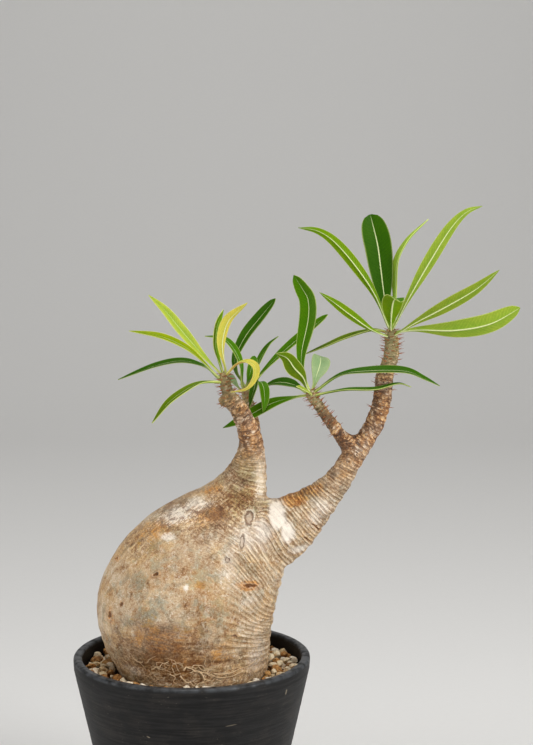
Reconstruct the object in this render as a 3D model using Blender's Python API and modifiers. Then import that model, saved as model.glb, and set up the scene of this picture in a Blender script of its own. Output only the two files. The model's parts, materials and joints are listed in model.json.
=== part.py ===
"""A potted pachypodium: a swollen caudex with four leafy branches, rooted in grit in a black pot.

Modelled in metres with +Z up. The origin is the middle of the pot's underside, and the front of the plant
faces -Y. The caudex and its branches grew as one piece. Each leaf, the grit and the pot are pieces of their
own.
"""

import math
import random

import bmesh
import bpy
import numpy as np
from mathutils import Matrix, Vector, noise
from mathutils.bvhtree import BVHTree

MM = 0.001
GAP = 0.35 * MM

# The pot is turned. Its wall leans straight out from the foot to a short upright rim band.
POT_HEIGHT = 95 * MM
RIM_RADIUS = 60 * MM
RIM_BAND = 5 * MM
RIM_ROUND = 1.4 * MM
FOOT_RADIUS = 40 * MM
WALL = 4.5 * MM
FLOOR_TOP = 6 * MM
RECESS_DEPTH = 2.5 * MM
FOOT_RING_WIDTH = 7 * MM
FOOT_PAD_RADIUS = 12 * MM
DRAIN_RADIUS = 4 * MM
DRAIN_CIRCLE = 22 * MM
DRAIN_COUNT = 6
NOTCH_WIDTH = 8 * MM
NOTCH_COUNT = 3
TURN_STEPS = 48

# Grit fills the pot to just under the rim, with a plain pit for the foot of the caudex. Its coarse grains lie
# in rows round the caudex, each row with a radius and a number of grains.
GRIT_LEVEL = 87.5 * MM
GRAIN_ROWS = ((43.6 * MM, 37), (47.4 * MM, 40), (50.8 * MM, 43))
GRAIN_RADIUS = 2.8 * MM
GRAIN_SMALLEST = 0.72
GRAIN_WIDTH = (0.75, 1)
GRAIN_HEIGHT = (0.7, 0.9)
GRAIN_STRAY = 0.3 * MM
GRAIN_SHIFT = 0.12
ROW_SHIFT = 0.33
GRAIN_SEED = 7

# Foot of the caudex, under the grit, as (radius, height) in millimetres from the root's tip upwards.
FOOT_OFFSET = 0.5
FOOT_PROFILE = ((4, 46), (14, 50.5), (25, 60), (33.5, 73), (38, 88))

# Sections of a limb in millimetres: its left edge (x, z), its right edge (x, z), its depth y and half its
# thickness.
BULB = [
    ((-44.5, 102), (39.5, 102), 0, 42),
    ((-48, 116.5), (41.5, 116.5), 0, 45),
    ((-46.5, 131), (44.5, 130), 0, 44),
    ((-41, 143.5), (47, 141), 0, 40),
    ((-33.5, 155), (45, 151), 0, 35),
    ((-20.5, 167), (40.5, 162), 0, 28),
    ((-5.5, 176), (38.5, 170), 0, 20.5),
    ((7, 182), (38, 176), 0, 15),
    ((15.5, 188.5), (38, 183), -1, 11),
    ((21, 196), (38, 192.5), -2, 8.2),
    ((23.8, 202.5), (36.8, 202), -3, 6.3),
    ((23.5, 209.5), (35, 210.5), -4, 5.6),
    ((21.5, 216), (31.5, 218), -5, 5),
    ((19.2, 221), (27.5, 225), -6, 4.4),
    ((17, 226.5), (23.5, 228.8), -7, 3.5),
    ((15.2, 231.5), (21.2, 232.6), -7.5, 3.1),
    ((14, 236.5), (20.2, 237.5), -8, 3.1),
    ((14.3, 239), (19.8, 239.8), -8, 2.7),
    ((15.6, 240.6), (18.6, 241), -8, 1.5),
]
STUB = [
    ((24, 229), (25, 220), -6, 4.2),
    ((17.2, 228.6), (19, 221.6), -6, 3.4),
    ((14.4, 227.6), (15.6, 223), -6, 2.4),
    ((13.4, 226.4), (13.8, 224.4), -6, 1.1),
]
RIGHT_BRANCH = [
    ((20, 160), (36, 128), 0, 20),
    ((34, 172.6), (47, 140), 0, 17),
    ((44.5, 175.8), (53.8, 145), 0, 15),
    ((52, 178.4), (60.8, 152.5), 0, 12.8),
    ((59, 182), (67.8, 162.5), 0, 10.2),
    ((65.6, 186.2), (74.2, 172.5), 0, 8),
    ((70.8, 191.5), (80.2, 182), 0, 6.5),
    ((74.6, 197.4), (84.6, 190.5), 0, 5.7),
    ((78.4, 203), (89, 198), 1, 5.4),
    ((83.2, 208), (93, 204.5), 1, 5),
    ((87, 214), (96.4, 211), 2, 4.9),
    ((89.2, 219.5), (99, 218.4), 3, 4.8),
    ((90.8, 225), (100.6, 224.5), 3, 4.8),
    ((91.6, 231), (101.2, 231), 4, 4.7),
    ((92.6, 237), (101.8, 237), 4, 4.6),
    ((94.4, 242), (103.2, 242), 5, 4.4),
    ((96.2, 247), (104.4, 247), 5, 4),
    ((96.6, 252), (104.2, 252), 6, 3.8),
    ((96.5, 257), (103.8, 257), 6, 3.6),
    ((97, 259.6), (103.2, 259.6), 6, 3.1),
    ((98.4, 261.2), (101.8, 261.2), 6, 1.7),
]
MIDDLE_BRANCH = [
    ((79, 196), (88, 203), 1, 4.4),
    ((74.6, 201.4), (82, 206.4), 0, 4.1),
    ((71, 207), (77.2, 210.6), -2, 3.5),
    ((67, 213), (72.8, 216), -3, 3.2),
    ((62.8, 219.2), (68.2, 222), -4, 3),
    ((58.8, 225.4), (64.2, 227.6), -5, 2.9),
    ((56.8, 229), (62.2, 230.8), -6, 2.7),
    ((57.4, 231.2), (60.8, 232.2), -6, 1.7),
]
BACK_BRANCH = [
    ((28, 197), (35, 199.5), -2, 3.6),
    ((29, 203), (35.6, 205.4), 4, 3.2),
    ((29, 209), (34.8, 211), 8, 2.9),
    ((28.2, 215), (33.6, 217), 11, 2.8),
    ((26.2, 221.2), (31.4, 222.8), 14, 2.7),
    ((24.7, 226.6), (30, 227.6), 16, 2.7),
    ((24.9, 229), (29.7, 229.8), 16, 2.4),
    ((26, 230.6), (28.8, 231), 16, 1.4),
]
RINGS_PER_SECTION = 3
SECTION_POINTS = 28
AXIS_STEPS = 6
VOXEL = 1.5 * MM
CAUDEX_TRIANGLES = 4400

# The bark is creased in rings across the limb, which climb to the right and to the front, and it swells
# unevenly front and back. Shares are given by place in millimetres: the creases are strongest low down on the
# right.
CREASE_PITCH = 6.5 * MM
CREASE_HEIGHT = 0.45 * MM
CREASE_CLIMB = (0.28, 0.1)
CREASE_WANDER = ((2.2, 26 * MM), (0.7, 9 * MM))
CREASE_BY_SIDE = ((-6, 0.25), (39, 1))
CREASE_BY_HEIGHT = ((90, 0), (102, 1), (120, 1), (147, 0.55), (195, 0.55), (196, 0.25))
SWELL_SIZE = 34 * MM
SWELL_HEIGHT = 1.3 * MM
SWELL_PHASE = Vector((3.1, 0.4, 1.7))
SWELL_BY_HEIGHT = ((90, 0), (102, 1), (189, 1), (190, 0))

# Paired spines stand at old leaf scars: for each limb the number of pairs, and the stretch that they cover
# as fractions of its length.
SPINED = ((BULB, 9, 0.76, 0.855), (RIGHT_BRANCH, 16, 0.56, 0.875), (MIDDLE_BRANCH, 10, 0.32, 0.72),
          (BACK_BRANCH, 6, 0.42, 0.68))
SPINE_LENGTH = 3.6 * MM
SPINE_RADIUS = 0.5 * MM
SPINE_ROOT = 0.9 * MM
SPINE_RISE = 0.35
SPINED_RADIUS = 9 * MM
BEYOND_BARK = 20 * MM
PAIR_ANGLE = math.radians(17)
GOLDEN_ANGLE = math.radians(137.5)

# Leaf blades: (place along the leaf, share of full width).
LANCE = ((0, 0.17), (0.12, 0.22), (0.25, 0.48), (0.4, 0.85), (0.55, 1), (0.7, 0.92), (0.83, 0.66),
         (0.93, 0.34), (1, 0.08))
BLUNT = ((0, 0.12), (0.12, 0.2), (0.25, 0.42), (0.4, 0.75), (0.55, 0.96), (0.7, 1), (0.84, 0.88),
         (0.95, 0.55), (1, 0.16))
BLADE_THICKNESS = 0.7 * MM
MIDRIB_DEPTH = 0.55 * MM
FOLD_ANGLE = math.radians(16)
MIDRIB_STEPS = 16

POT_COLOUR = (0.022, 0.023, 0.026)
GRIT_COLOUR = (0.5, 0.4, 0.26)
BARK_COLOUR = (0.34, 0.25, 0.15)
LEAF_COLOURS = {
    "green": (0.045, 0.16, 0.015),
    "deep_green": (0.018, 0.09, 0.01),
    "light_green": (0.17, 0.32, 0.035),
    "lime": (0.3, 0.42, 0.04),
    "yellow": (0.62, 0.53, 0.09),
}

# A leaf: colour, blade, width in millimetres, the way its upper side faces at mid length, and its midrib in
# millimetres from inside the tip of its stem to its own tip.
LEFT_LEAVES = [
    ("lime", LANCE, 7, (0.4, -0.8, 0.45),
     [(17, -8, 238), (14, -8.8, 241), (5, -11, 251), (-4.5, -12, 262.5), (-12, -11, 271.5),
      (-20, -8, 278.5)]),
    ("lime", LANCE, 6.5, (0.1, -0.5, 0.85),
     [(17, -8, 236.5), (13.3, -10, 239), (5.5, -16, 248), (-2, -20, 254.5), (-13.5, -24, 260),
      (-28.5, -24, 262.5)]),
    ("deep_green", LANCE, 6.5, (-0.2, -0.4, 0.9),
     [(17, -8, 236), (13.2, -6.6, 238), (7.5, -3, 242.5), (-4, 4, 244.5), (-18, 9, 241.5), (-37, 11, 234)]),
    ("green", LANCE, 5.5, (-0.55, -0.55, 0.6),
     [(17, -8, 235), (14, -11, 236), (6, -17, 236.5), (-1.5, -22, 233.5), (-10, -26, 227.5),
      (-17.5, -28, 218)]),
    ("light_green", LANCE, 6, (0.8, -0.6, 0),
     [(17, -8, 238.5), (15.6, -5.6, 242), (13, -4, 251), (13, -2, 258), (14, 0, 264.5), (16.5, 1, 270.5)]),
    ("yellow", LANCE, 7, (-0.65, 0.7, 0.2),
     [(17, -8, 239), (17.6, -8.4, 242), (15.8, -8.4, 250.5), (16.2, -8.5, 258.5), (19.5, -9, 267),
      (28.5, -12, 275)]),
    ("yellow", LANCE, 6, (0.3, -0.35, 0.9),
     [(17, -8, 238), (19.4, -11, 241), (23.5, -14, 245.5), (28.5, -18, 247), (32.5, -20, 244.5),
      (32, -19, 239),
      (28, -17, 233.5), (20.5, -16, 231.5)]),
]
BACK_LEAVES = [
    ("green", LANCE, 8, (-0.6, -0.7, 0.25),
     [(27.2, 16, 229), (25.6, 17.4, 232), (22.5, 20, 237), (22, 23, 244), (27, 26, 254.5), (34.5, 28, 264),
      (42.5, 28, 273.5)]),
    ("green", LANCE, 6, (0.65, -0.43, 0.55),
     [(27.2, 16, 228), (25.6, 14.2, 231), (25, 14.5, 241), (21.5, 16, 249), (16, 18, 254), (6.5, 21, 255)]),
    ("green", LANCE, 5, (-0.7, -0.5, 0.5),
     [(27.2, 16, 228), (28.8, 18.8, 231), (32.5, 22, 238.5), (35.5, 27, 244.5), (39, 31, 249.5),
      (44, 34, 253.5)]),
    ("green", LANCE, 7.5, (-0.55, -0.5, 0.65),
     [(27.2, 16, 227.5), (30.6, 17, 230), (35.5, 19, 236.5), (45, 21, 246), (56, 22, 255.5),
      (69, 21, 266)]),
    ("deep_green", LANCE, 6, (-0.5, -0.8, 0),
     [(27.2, 16, 228.5), (28.2, 12.8, 231.5), (31.5, 8, 236), (32, 3, 232.5), (30.5, 1, 227),
      (29.5, 1, 221.5)]),
    ("green", LANCE, 6, (0.4, -0.85, 0),
     [(27.2, 16, 227), (30, 13.6, 229.5), (34.5, 8, 233.5), (36.5, 3, 231), (37, 1, 225), (36.2, 0, 219)]),
    ("green", BLUNT, 5, (0.3, -0.9, 0.2),
     [(27.2, 16, 229.5), (28.4, 15.2, 232.5), (29.6, 15, 237), (30.9, 16.4, 241.5), (31.9, 19.4, 245)]),
    ("green", LANCE, 5, (0.2, -0.8, 0.6),
     [(27.2, 16, 227), (24, 16.2, 229), (21, 17.6, 232.5), (17.5, 21, 234.5), (12.5, 25, 234)]),
]
MIDDLE_LEAVES = [
    ("deep_green", LANCE, 9.5, (-0.5, -0.7, 0),
     [(59.6, -6, 230), (58.2, -4.2, 233), (55.5, -1, 240.5), (55.5, 2, 250), (58.5, 5, 265),
      (58.5, 7, 274.5),
      (55.5, 8, 280.5), (51.5, 8, 287)]),
    ("light_green", LANCE, 7, (-0.4, 0.75, 0.5),
     [(60, -6, 229.5), (57.8, -8.8, 232.5), (55.3, -15, 239), (51, -22, 244.5), (47.5, -28, 250),
      (42.5, -32, 252.5)]),
    ("light_green", BLUNT, 9.5, (0.4, -0.75, 0.5),
     [(60, -6, 229.5), (61.8, -4, 233), (62.6, 0, 237.5), (64, 5, 242), (65.6, 11, 244.6),
      (66.5, 18, 243.5),
      (66.5, 23, 240)]),
    ("deep_green", LANCE, 7, (0, -0.6, 0.8),
     [(60, -6, 229), (56.2, -3.8, 230.5), (52.5, 1, 232.5), (46.5, 6, 233.5), (41, 10, 232.5),
      (35.5, 12, 229.5)]),
    ("green", LANCE, 6.5, (-0.15, -0.85, 0.5),
     [(61, -5.5, 227.5), (56.8, -6, 228.4), (44.5, 0, 225), (37, 2.8, 221.5), (30, 3.7, 217.5),
      (22.5, 4, 213.5),
      (16, 4, 210.5)]),
    ("deep_green", LANCE, 7.5, (0, -0.35, 0.9),
     [(60, -6, 229), (63.2, -7, 231.5), (74, -11, 239.5), (88.5, -14, 242), (105.5, -15, 242),
      (115.5, -14, 238),
      (123, -12, 234)]),
    ("green", LANCE, 6, (0, -0.05, 1),
     [(60.5, -6, 228), (64, -8, 229.5), (76.5, -13, 232.5), (91, -15, 233), (102.5, -14, 235.5),
      (109, -12, 233.5)]),
    ("lime", LANCE, 3.4, (0.3, -0.5, 0.8),
     [(60.4, -6, 228), (60, -9.4, 229.8), (57.6, -13.5, 231.8), (54.8, -17, 233.8), (52.4, -20, 235)]),
]
RIGHT_LEAVES = [
    ("light_green", LANCE, 8.5, (0.64, 0.55, 0.48),
     [(100, 6, 259.5), (98, 5, 263), (91.5, 3, 278), (82, 1, 292), (71.5, 0, 304), (63, 0, 309.5),
      (53.5, 1, 311)]),
    ("deep_green", BLUNT, 15, (0, -0.95, 0.3),
     [(100, 6, 259.5), (99, 8, 262.5), (97, 13, 276.5), (95.5, 18, 290), (94, 22, 302), (90.5, 26, 316.5)]),
    ("light_green", LANCE, 8.5, (-0.9, -0.2, 0.4),
     [(100, 6, 259.5), (101.6, 7.8, 262.5), (102.5, 13, 278), (103.5, 18, 293), (109.5, 23, 304),
      (120, 27, 314)]),
    ("light_green", LANCE, 10, (-0.55, 0.6, 0.45),
     [(100, 6, 259), (102, 4.4, 262.5), (108, 0, 276), (118, -5, 295), (127.5, -8, 311),
      (135, -9, 319), (143, -8, 322)]),
    ("light_green", LANCE, 9.5, (-0.25, 0.7, 0.6),
     [(100, 6, 256.5), (103.4, 2.6, 258.5), (111.5, -3, 264.5), (125.5, -10, 273),
      (139.5, -15, 282), (150.5, -18, 291.5)]),
    ("light_green", LANCE, 14, (-0.1, 0.93, 0.35),
     [(100, 6, 258), (104.6, 5.6, 259), (114, 2, 260.5), (131, -4, 261), (147.5, -8, 264.5),
      (162, -10, 272.5)]),
    ("green", LANCE, 7.5, (0.3, 0.4, 0.8),
     [(100, 6, 256), (96.6, 3, 257.5), (89, -3, 261.5), (78.5, -11, 269.5), (71, -17, 275.5),
      (63.5, -22, 281)]),
    ("green", LANCE, 7.5, (-0.2, -0.2, 0.9),
     [(100, 6, 257.5), (96.8, 8.6, 258.8), (90, 13, 259), (77.5, 19, 254.5), (67.5, 24, 249.5),
      (57.5, 27, 245)]),
    ("light_green", BLUNT, 11, (0, 0.95, 0.3),
     [(100, 6, 258.5), (100, 2.6, 261), (99.5, -3, 268), (99.5, -9, 275), (101, -14, 279),
      (104, -18, 278.5)]),
]


def clear_scene():
    for obj in list(bpy.data.objects):
        bpy.data.objects.remove(obj, do_unlink=True)


def new_collection(name):
    collection = bpy.data.collections.new(name)
    bpy.context.scene.collection.children.link(collection)
    return collection


def new_material(name, colour, roughness):
    material = bpy.data.materials.new(name)
    material.use_nodes = True
    shader = material.node_tree.nodes["Principled BSDF"]
    shader.inputs["Base Color"].default_value = (*colour, 1)
    shader.inputs["Roughness"].default_value = roughness
    shader.inputs["Metallic"].default_value = 0
    return material


def new_object(name, bm, collection, material=None):
    """A mesh object from a bmesh, which is freed."""
    bmesh.ops.recalc_face_normals(bm, faces=bm.faces)
    mesh = bpy.data.meshes.new(name)
    bm.to_mesh(mesh)
    bm.free()
    obj = bpy.data.objects.new(name, mesh)
    if material:
        mesh.materials.append(material)
    collection.objects.link(obj)
    return obj


def hide_cutter(obj):
    obj.hide_render = True
    obj.display_type = "WIRE"


def apply_modifiers(obj):
    """Bakes the modifiers of an object into its mesh."""
    bpy.context.view_layer.update()
    evaluated = obj.evaluated_get(bpy.context.evaluated_depsgraph_get())
    mesh = bpy.data.meshes.new_from_object(evaluated)
    obj.modifiers.clear()
    obj.data = mesh


def shade_round(obj, angle):
    obj.data.shade_smooth()
    obj.data.set_sharp_from_angle(angle=math.radians(angle))


def turned(name, profile, collection, material):
    """A solid turned about Z from (radius, height) points that start and end on the axis."""
    bm = bmesh.new()
    points = [bm.verts.new((radius, 0, height)) for radius, height in profile]
    for start, end in zip(points, points[1:]):
        bm.edges.new((start, end))
    mesh = bpy.data.meshes.new(name)
    bm.to_mesh(mesh)
    bm.free()
    obj = bpy.data.objects.new(name, mesh)
    collection.objects.link(obj)
    screw = obj.modifiers.new("Turn", "SCREW")
    screw.steps = TURN_STEPS
    screw.render_steps = TURN_STEPS
    screw.use_merge_vertices = True
    screw.merge_threshold = 0.00001
    apply_modifiers(obj)
    obj.data.materials.clear()
    obj.data.materials.append(material)
    return obj


def joined(obj, others, operation, solver="EXACT"):
    """Cuts or joins an object with the objects of a collection, which are then removed."""
    boolean = obj.modifiers.new(operation.title(), "BOOLEAN")
    boolean.operation = operation
    boolean.solver = solver
    boolean.operand_type = "COLLECTION"
    boolean.collection = others
    apply_modifiers(obj)
    for other in list(others.objects):
        bpy.data.objects.remove(other, do_unlink=True)


def curve_through(points, steps):
    """Points on a smooth curve through the given ones, with so many steps in each span."""
    points = [Vector(point) for point in points]
    ends = [2 * points[0] - points[1], *points, 2 * points[-1] - points[-2]]
    found = []
    for before, start, end, after in zip(ends, ends[1:], ends[2:], ends[3:]):
        for step in range(steps):
            t = step / steps
            bend = (2 * before - 5 * start + 4 * end - after) * t * t
            turn = (3 * start - before - 3 * end + after) * t * t * t
            found.append((2 * start + (end - before) * t + bend + turn) / 2)
    return found + [points[-1]]


def wall_radius(height):
    """Outer radius of the pot's leaning wall."""
    lean = (RIM_RADIUS - FOOT_RADIUS) / (POT_HEIGHT - RIM_BAND)
    return FOOT_RADIUS + lean * height


def rounded(radius, height, start, end, size):
    """Points of a rounded profile corner, which turns from one angle to another."""
    angles = [math.radians(start + (end - start) * step / 3) for step in range(4)]
    return [(radius + size * math.cos(angle), height + size * math.sin(angle)) for angle in angles]


def make_pot(collection, cutters):
    rim_inside = RIM_RADIUS - WALL - RIM_ROUND
    ring_inside = FOOT_RADIUS - FOOT_RING_WIDTH
    profile = [
        (0, FLOOR_TOP),
        (wall_radius(FLOOR_TOP) - WALL, FLOOR_TOP),
        (wall_radius(GRIT_LEVEL) - WALL, GRIT_LEVEL),
        *rounded(rim_inside + 2 * RIM_ROUND, POT_HEIGHT - RIM_ROUND, 180, 90, RIM_ROUND),
        *rounded(RIM_RADIUS - RIM_ROUND, POT_HEIGHT - RIM_ROUND, 90, 0, RIM_ROUND),
        (RIM_RADIUS, POT_HEIGHT - RIM_BAND),
        (wall_radius(POT_HEIGHT - RIM_BAND - MM), POT_HEIGHT - RIM_BAND - MM),
        (wall_radius(MM), MM),
        (wall_radius(0) - MM, 0),
        (ring_inside, 0),
        (ring_inside, RECESS_DEPTH),
        (FOOT_PAD_RADIUS, RECESS_DEPTH),
        (FOOT_PAD_RADIUS, 0),
        (0, 0),
    ]
    material = new_material("black_pot", POT_COLOUR, 0.55)
    pot = turned("pot", profile, collection, material)
    for index in range(DRAIN_COUNT):
        turn = Matrix.Rotation(2 * math.pi * (index + 0.5) / DRAIN_COUNT, 4, "Z")
        bm = bmesh.new()
        bmesh.ops.create_cone(bm, cap_ends=True, segments=12, radius1=DRAIN_RADIUS, radius2=DRAIN_RADIUS,
                              depth=4 * FLOOR_TOP, matrix=turn @ Matrix.Translation((DRAIN_CIRCLE, 0, 0)))
        hide_cutter(new_object(f"drain_{index + 1}", bm, cutters))
    for index in range(NOTCH_COUNT):
        turn = Matrix.Rotation(2 * math.pi * index / NOTCH_COUNT, 4, "Z")
        size = Matrix.Diagonal((3 * FOOT_RING_WIDTH, NOTCH_WIDTH, 1.6 * RECESS_DEPTH, 1))
        place = Matrix.Translation((FOOT_RADIUS, 0, 0))
        bm = bmesh.new()
        bmesh.ops.create_cube(bm, size=1, matrix=turn @ place @ size)
        hide_cutter(new_object(f"notch_{index + 1}", bm, cutters))
    joined(pot, cutters, "DIFFERENCE")
    shade_round(pot, 40)


def make_grit(collection, grains):
    clear = FOOT_OFFSET * MM + 2 * GAP
    pit = [(radius * MM + clear, height * MM - GAP) for radius, height in FOOT_PROFILE[:-1]]
    profile = [
        (0, pit[0][1]),
        *pit,
        (FOOT_PROFILE[-1][0] * MM + clear, GRIT_LEVEL),
        (wall_radius(GRIT_LEVEL) - WALL - GAP, GRIT_LEVEL),
        (wall_radius(FLOOR_TOP) - WALL - GAP, FLOOR_TOP + GAP),
        (0, FLOOR_TOP + GAP),
    ]
    material = new_material("grit", GRIT_COLOUR, 0.9)
    grit = turned("grit", profile, collection, material)
    draw = random.Random(GRAIN_SEED)
    for row, (ring, count) in enumerate(GRAIN_ROWS):
        for index in range(count):
            shift = draw.uniform(-GRAIN_SHIFT, GRAIN_SHIFT)
            angle = 2 * math.pi * (index + ROW_SHIFT * row + shift) / count
            size = GRAIN_RADIUS * draw.uniform(GRAIN_SMALLEST, 1)
            reach = ring + draw.uniform(-GRAIN_STRAY, GRAIN_STRAY)
            place = Matrix.Translation((reach * math.cos(angle), reach * math.sin(angle), GRIT_LEVEL))
            turn = Matrix.Rotation(draw.uniform(0, math.pi), 4, (draw.random(), draw.random(), 1))
            width = draw.uniform(*GRAIN_WIDTH)
            height = draw.uniform(*GRAIN_HEIGHT)
            shape = Matrix.Diagonal((size, size * width, size * height, 1))
            bm = bmesh.new()
            bmesh.ops.create_icosphere(bm, subdivisions=1, radius=1, matrix=place @ turn @ shape)
            new_object(f"grain_{row}_{index}", bm, grains)
    joined(grit, grains, "UNION", "MANIFOLD")


def section_ring(left_x, left_z, right_x, right_z, depth, thickness):
    """Points round an elliptical section of a limb."""
    middle = Vector(((left_x + right_x) / 2, depth, (left_z + right_z) / 2))
    reach = Vector(((right_x - left_x) / 2, 0, (right_z - left_z) / 2))
    back = Vector((0, thickness, 0))
    angles = [2 * math.pi * index / SECTION_POINTS for index in range(SECTION_POINTS)]
    return [(middle + reach * math.cos(angle) + back * math.sin(angle)) * MM for angle in angles]


def loft(bm, rings):
    """Skins closed rings of points from end to end, and closes both ends."""
    rings = [[bm.verts.new(point) for point in ring] for ring in rings]
    for ring, following in zip(rings, rings[1:]):
        for index in range(len(ring)):
            ahead = (index + 1) % len(ring)
            bm.faces.new((ring[index], ring[ahead], following[ahead], following[index]))
    bm.faces.new(list(reversed(rings[0])))
    bm.faces.new(rings[-1])


def flat_sections(sections):
    return [(*left, *right, depth, thickness) for left, right, depth, thickness in sections]


def limb_axis(sections):
    """The middle of a limb, as points along a smooth curve."""
    middles = [((left[0] + right[0]) / 2, depth, (left[1] + right[1]) / 2)
               for left, right, depth, _ in sections]
    return [point * MM for point in curve_through(middles, AXIS_STEPS)]


def share_at(place, shares):
    """The share that a table of (millimetres, share) gives at a place in metres."""
    return np.interp(place / MM, [start for start, _ in shares], [share for _, share in shares])


def crease(point, normal):
    """How far the bark stands out at a point: rings of creases, and a broad unevenness front and back."""
    wander = sum(turn * noise.noise(point / size) for turn, size in CREASE_WANDER)
    along = point.z + CREASE_CLIMB[0] * max(0, point.x) - CREASE_CLIMB[1] * point.y
    wave = math.sin(2 * math.pi * along / CREASE_PITCH + wander)
    ring = CREASE_HEIGHT * wave * share_at(point.x, CREASE_BY_SIDE) * share_at(point.z, CREASE_BY_HEIGHT)
    swell = SWELL_HEIGHT * noise.noise(point / SWELL_SIZE + SWELL_PHASE) * abs(normal.y)
    return ring + swell * share_at(point.z, SWELL_BY_HEIGHT)


def make_caudex(collection, spines):
    bm = bmesh.new()
    foot = [((FOOT_OFFSET - radius, height), (FOOT_OFFSET + radius, height), 0, radius)
            for radius, height in FOOT_PROFILE]
    for sections in (foot + BULB, STUB, RIGHT_BRANCH, MIDDLE_BRANCH, BACK_BRANCH):
        smooth = curve_through(flat_sections(sections), RINGS_PER_SECTION)
        loft(bm, [section_ring(*section) for section in smooth])
    material = new_material("bark", BARK_COLOUR, 0.6)
    caudex = new_object("caudex", bm, collection, material)
    remesh = caudex.modifiers.new("Grow together", "REMESH")
    remesh.mode = "VOXEL"
    remesh.voxel_size = VOXEL
    soften = caudex.modifiers.new("Soften", "SMOOTH")
    soften.factor = 0.5
    soften.iterations = 3
    apply_modifiers(caudex)
    vertices = caudex.data.vertices
    creased = [vertex.co + vertex.normal * crease(vertex.co, vertex.normal) for vertex in vertices]
    for vertex, place in zip(vertices, creased):
        vertex.co = place
    thin = caudex.modifiers.new("Thin out", "DECIMATE")
    thin.ratio = CAUDEX_TRIANGLES / (2 * len(caudex.data.polygons))
    thin.use_collapse_triangulate = True
    apply_modifiers(caudex)
    bark = BVHTree.FromPolygons([vertex.co for vertex in caudex.data.vertices],
                                [polygon.vertices for polygon in caudex.data.polygons])
    bark_cutter = bpy.data.objects.new("bark_cutter", caudex.data.copy())
    swell = bark_cutter.modifiers.new("Clearance", "DISPLACE")
    swell.strength = GAP
    swell.mid_level = 0
    for sections, pairs, first, last in SPINED:
        add_spines(limb_axis(sections), pairs, first, last, bark, spines)
    joined(caudex, spines, "UNION", "MANIFOLD")
    caudex.data.materials.clear()
    caudex.data.materials.append(material)
    caudex.data.shade_smooth()
    spines.objects.link(bark_cutter)
    hide_cutter(bark_cutter)
    return bark, bark_cutter


def add_spines(axis, pairs, first, last, bark, spines):
    """Pairs of three-sided spines up a limb, each pair turned by the golden angle from the one below it."""
    for index in range(pairs):
        place = (first + (last - first) * index / (pairs - 1)) * (len(axis) - 1)
        below = min(int(place), len(axis) - 2)
        middle = axis[below].lerp(axis[below + 1], place - below)
        upward = (axis[below + 1] - axis[below]).normalized()
        aside = upward.cross((0, 1, 0)).normalized()
        for turn in (-PAIR_ANGLE, PAIR_ANGLE):
            out = aside.copy()
            out.rotate(Matrix.Rotation(index * GOLDEN_ANGLE + turn, 3, upward))
            seat, facing, _, _ = bark.ray_cast(middle + out * BEYOND_BARK, -out)
            if seat is None or (seat - middle).length > SPINED_RADIUS:
                continue
            lean = (out + facing + SPINE_RISE * upward).normalized()
            bm = bmesh.new()
            stand = lean.to_track_quat("Z", "Y").to_matrix().to_4x4()
            centre = Matrix.Translation(seat + lean * (SPINE_LENGTH / 2 - SPINE_ROOT))
            bmesh.ops.create_cone(bm, cap_ends=True, segments=3, radius1=SPINE_RADIUS, radius2=0,
                                  depth=SPINE_LENGTH, matrix=centre @ stand)
            new_object(f"spine_{len(spines.objects)}", bm, spines)


def square_to(direction, tangent):
    """The part of a direction that is square to a tangent, at unit length."""
    return (direction - tangent * direction.dot(tangent)).normalized()


def framed_midrib(midrib, face):
    """Close points along a midrib, each with its tangent and the direction that the upper side faces."""
    path = [point * MM for point in curve_through(midrib, MIDRIB_STEPS)]
    tangents = [(after - before).normalized() for before, after in zip(path, path[1:])]
    tangents.append(tangents[-1])
    middle = len(path) // 2
    upward = {middle: square_to(Vector(face), tangents[middle])}
    for index in range(middle + 1, len(path)):
        upward[index] = square_to(upward[index - 1], tangents[index])
    for index in range(middle - 1, -1, -1):
        upward[index] = square_to(upward[index + 1], tangents[index])
    return [(path[index], tangents[index], upward[index]) for index in range(len(path))]


def blade_section(centre, tangent, up, half_width, place):
    """Six points round a leaf: upper left edge, midrib and right edge, and the lower side back again."""
    edge = tangent.cross(up) * half_width * math.cos(FOLD_ANGLE)
    lift = up * half_width * math.sin(FOLD_ANGLE)
    thick = up * BLADE_THICKNESS / 2
    rib = thick + up * MIDRIB_DEPTH * (1 - place)
    centre = centre - lift / 2
    return [centre - edge + lift + thick, centre + thick, centre + edge + lift + thick,
            centre + edge + lift - thick, centre - rib, centre - edge + lift - thick]


def make_leaf(name, blade, width, face, midrib, bark, collection, material):
    """A leaf that starts inside the stem, with its blade measured from where it leaves the bark."""
    framed = framed_midrib(midrib, face)
    start = next(index for index, (point, _, _) in enumerate(framed) if is_outside(point, bark))
    lengths = [0]
    for (before, _, _), (after, _, _) in zip(framed[start:], framed[start + 1:]):
        lengths.append(lengths[-1] + (after - before).length)
    rings = [blade_section(*framed[0], blade[0][1] * width * MM / 2, 0)]
    for place, share in blade:
        nearest = min(range(len(lengths)), key=lambda index: abs(lengths[index] - place * lengths[-1]))
        rings.append(blade_section(*framed[start + nearest], share * width * MM / 2, place))
    bm = bmesh.new()
    loft(bm, rings)
    bmesh.ops.triangulate(bm, faces=bm.faces)
    return new_object(name, bm, collection, material)


def is_outside(point, bark):
    near, facing, _, _ = bark.find_nearest(point)
    return (point - near).dot(facing) > 0


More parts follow.
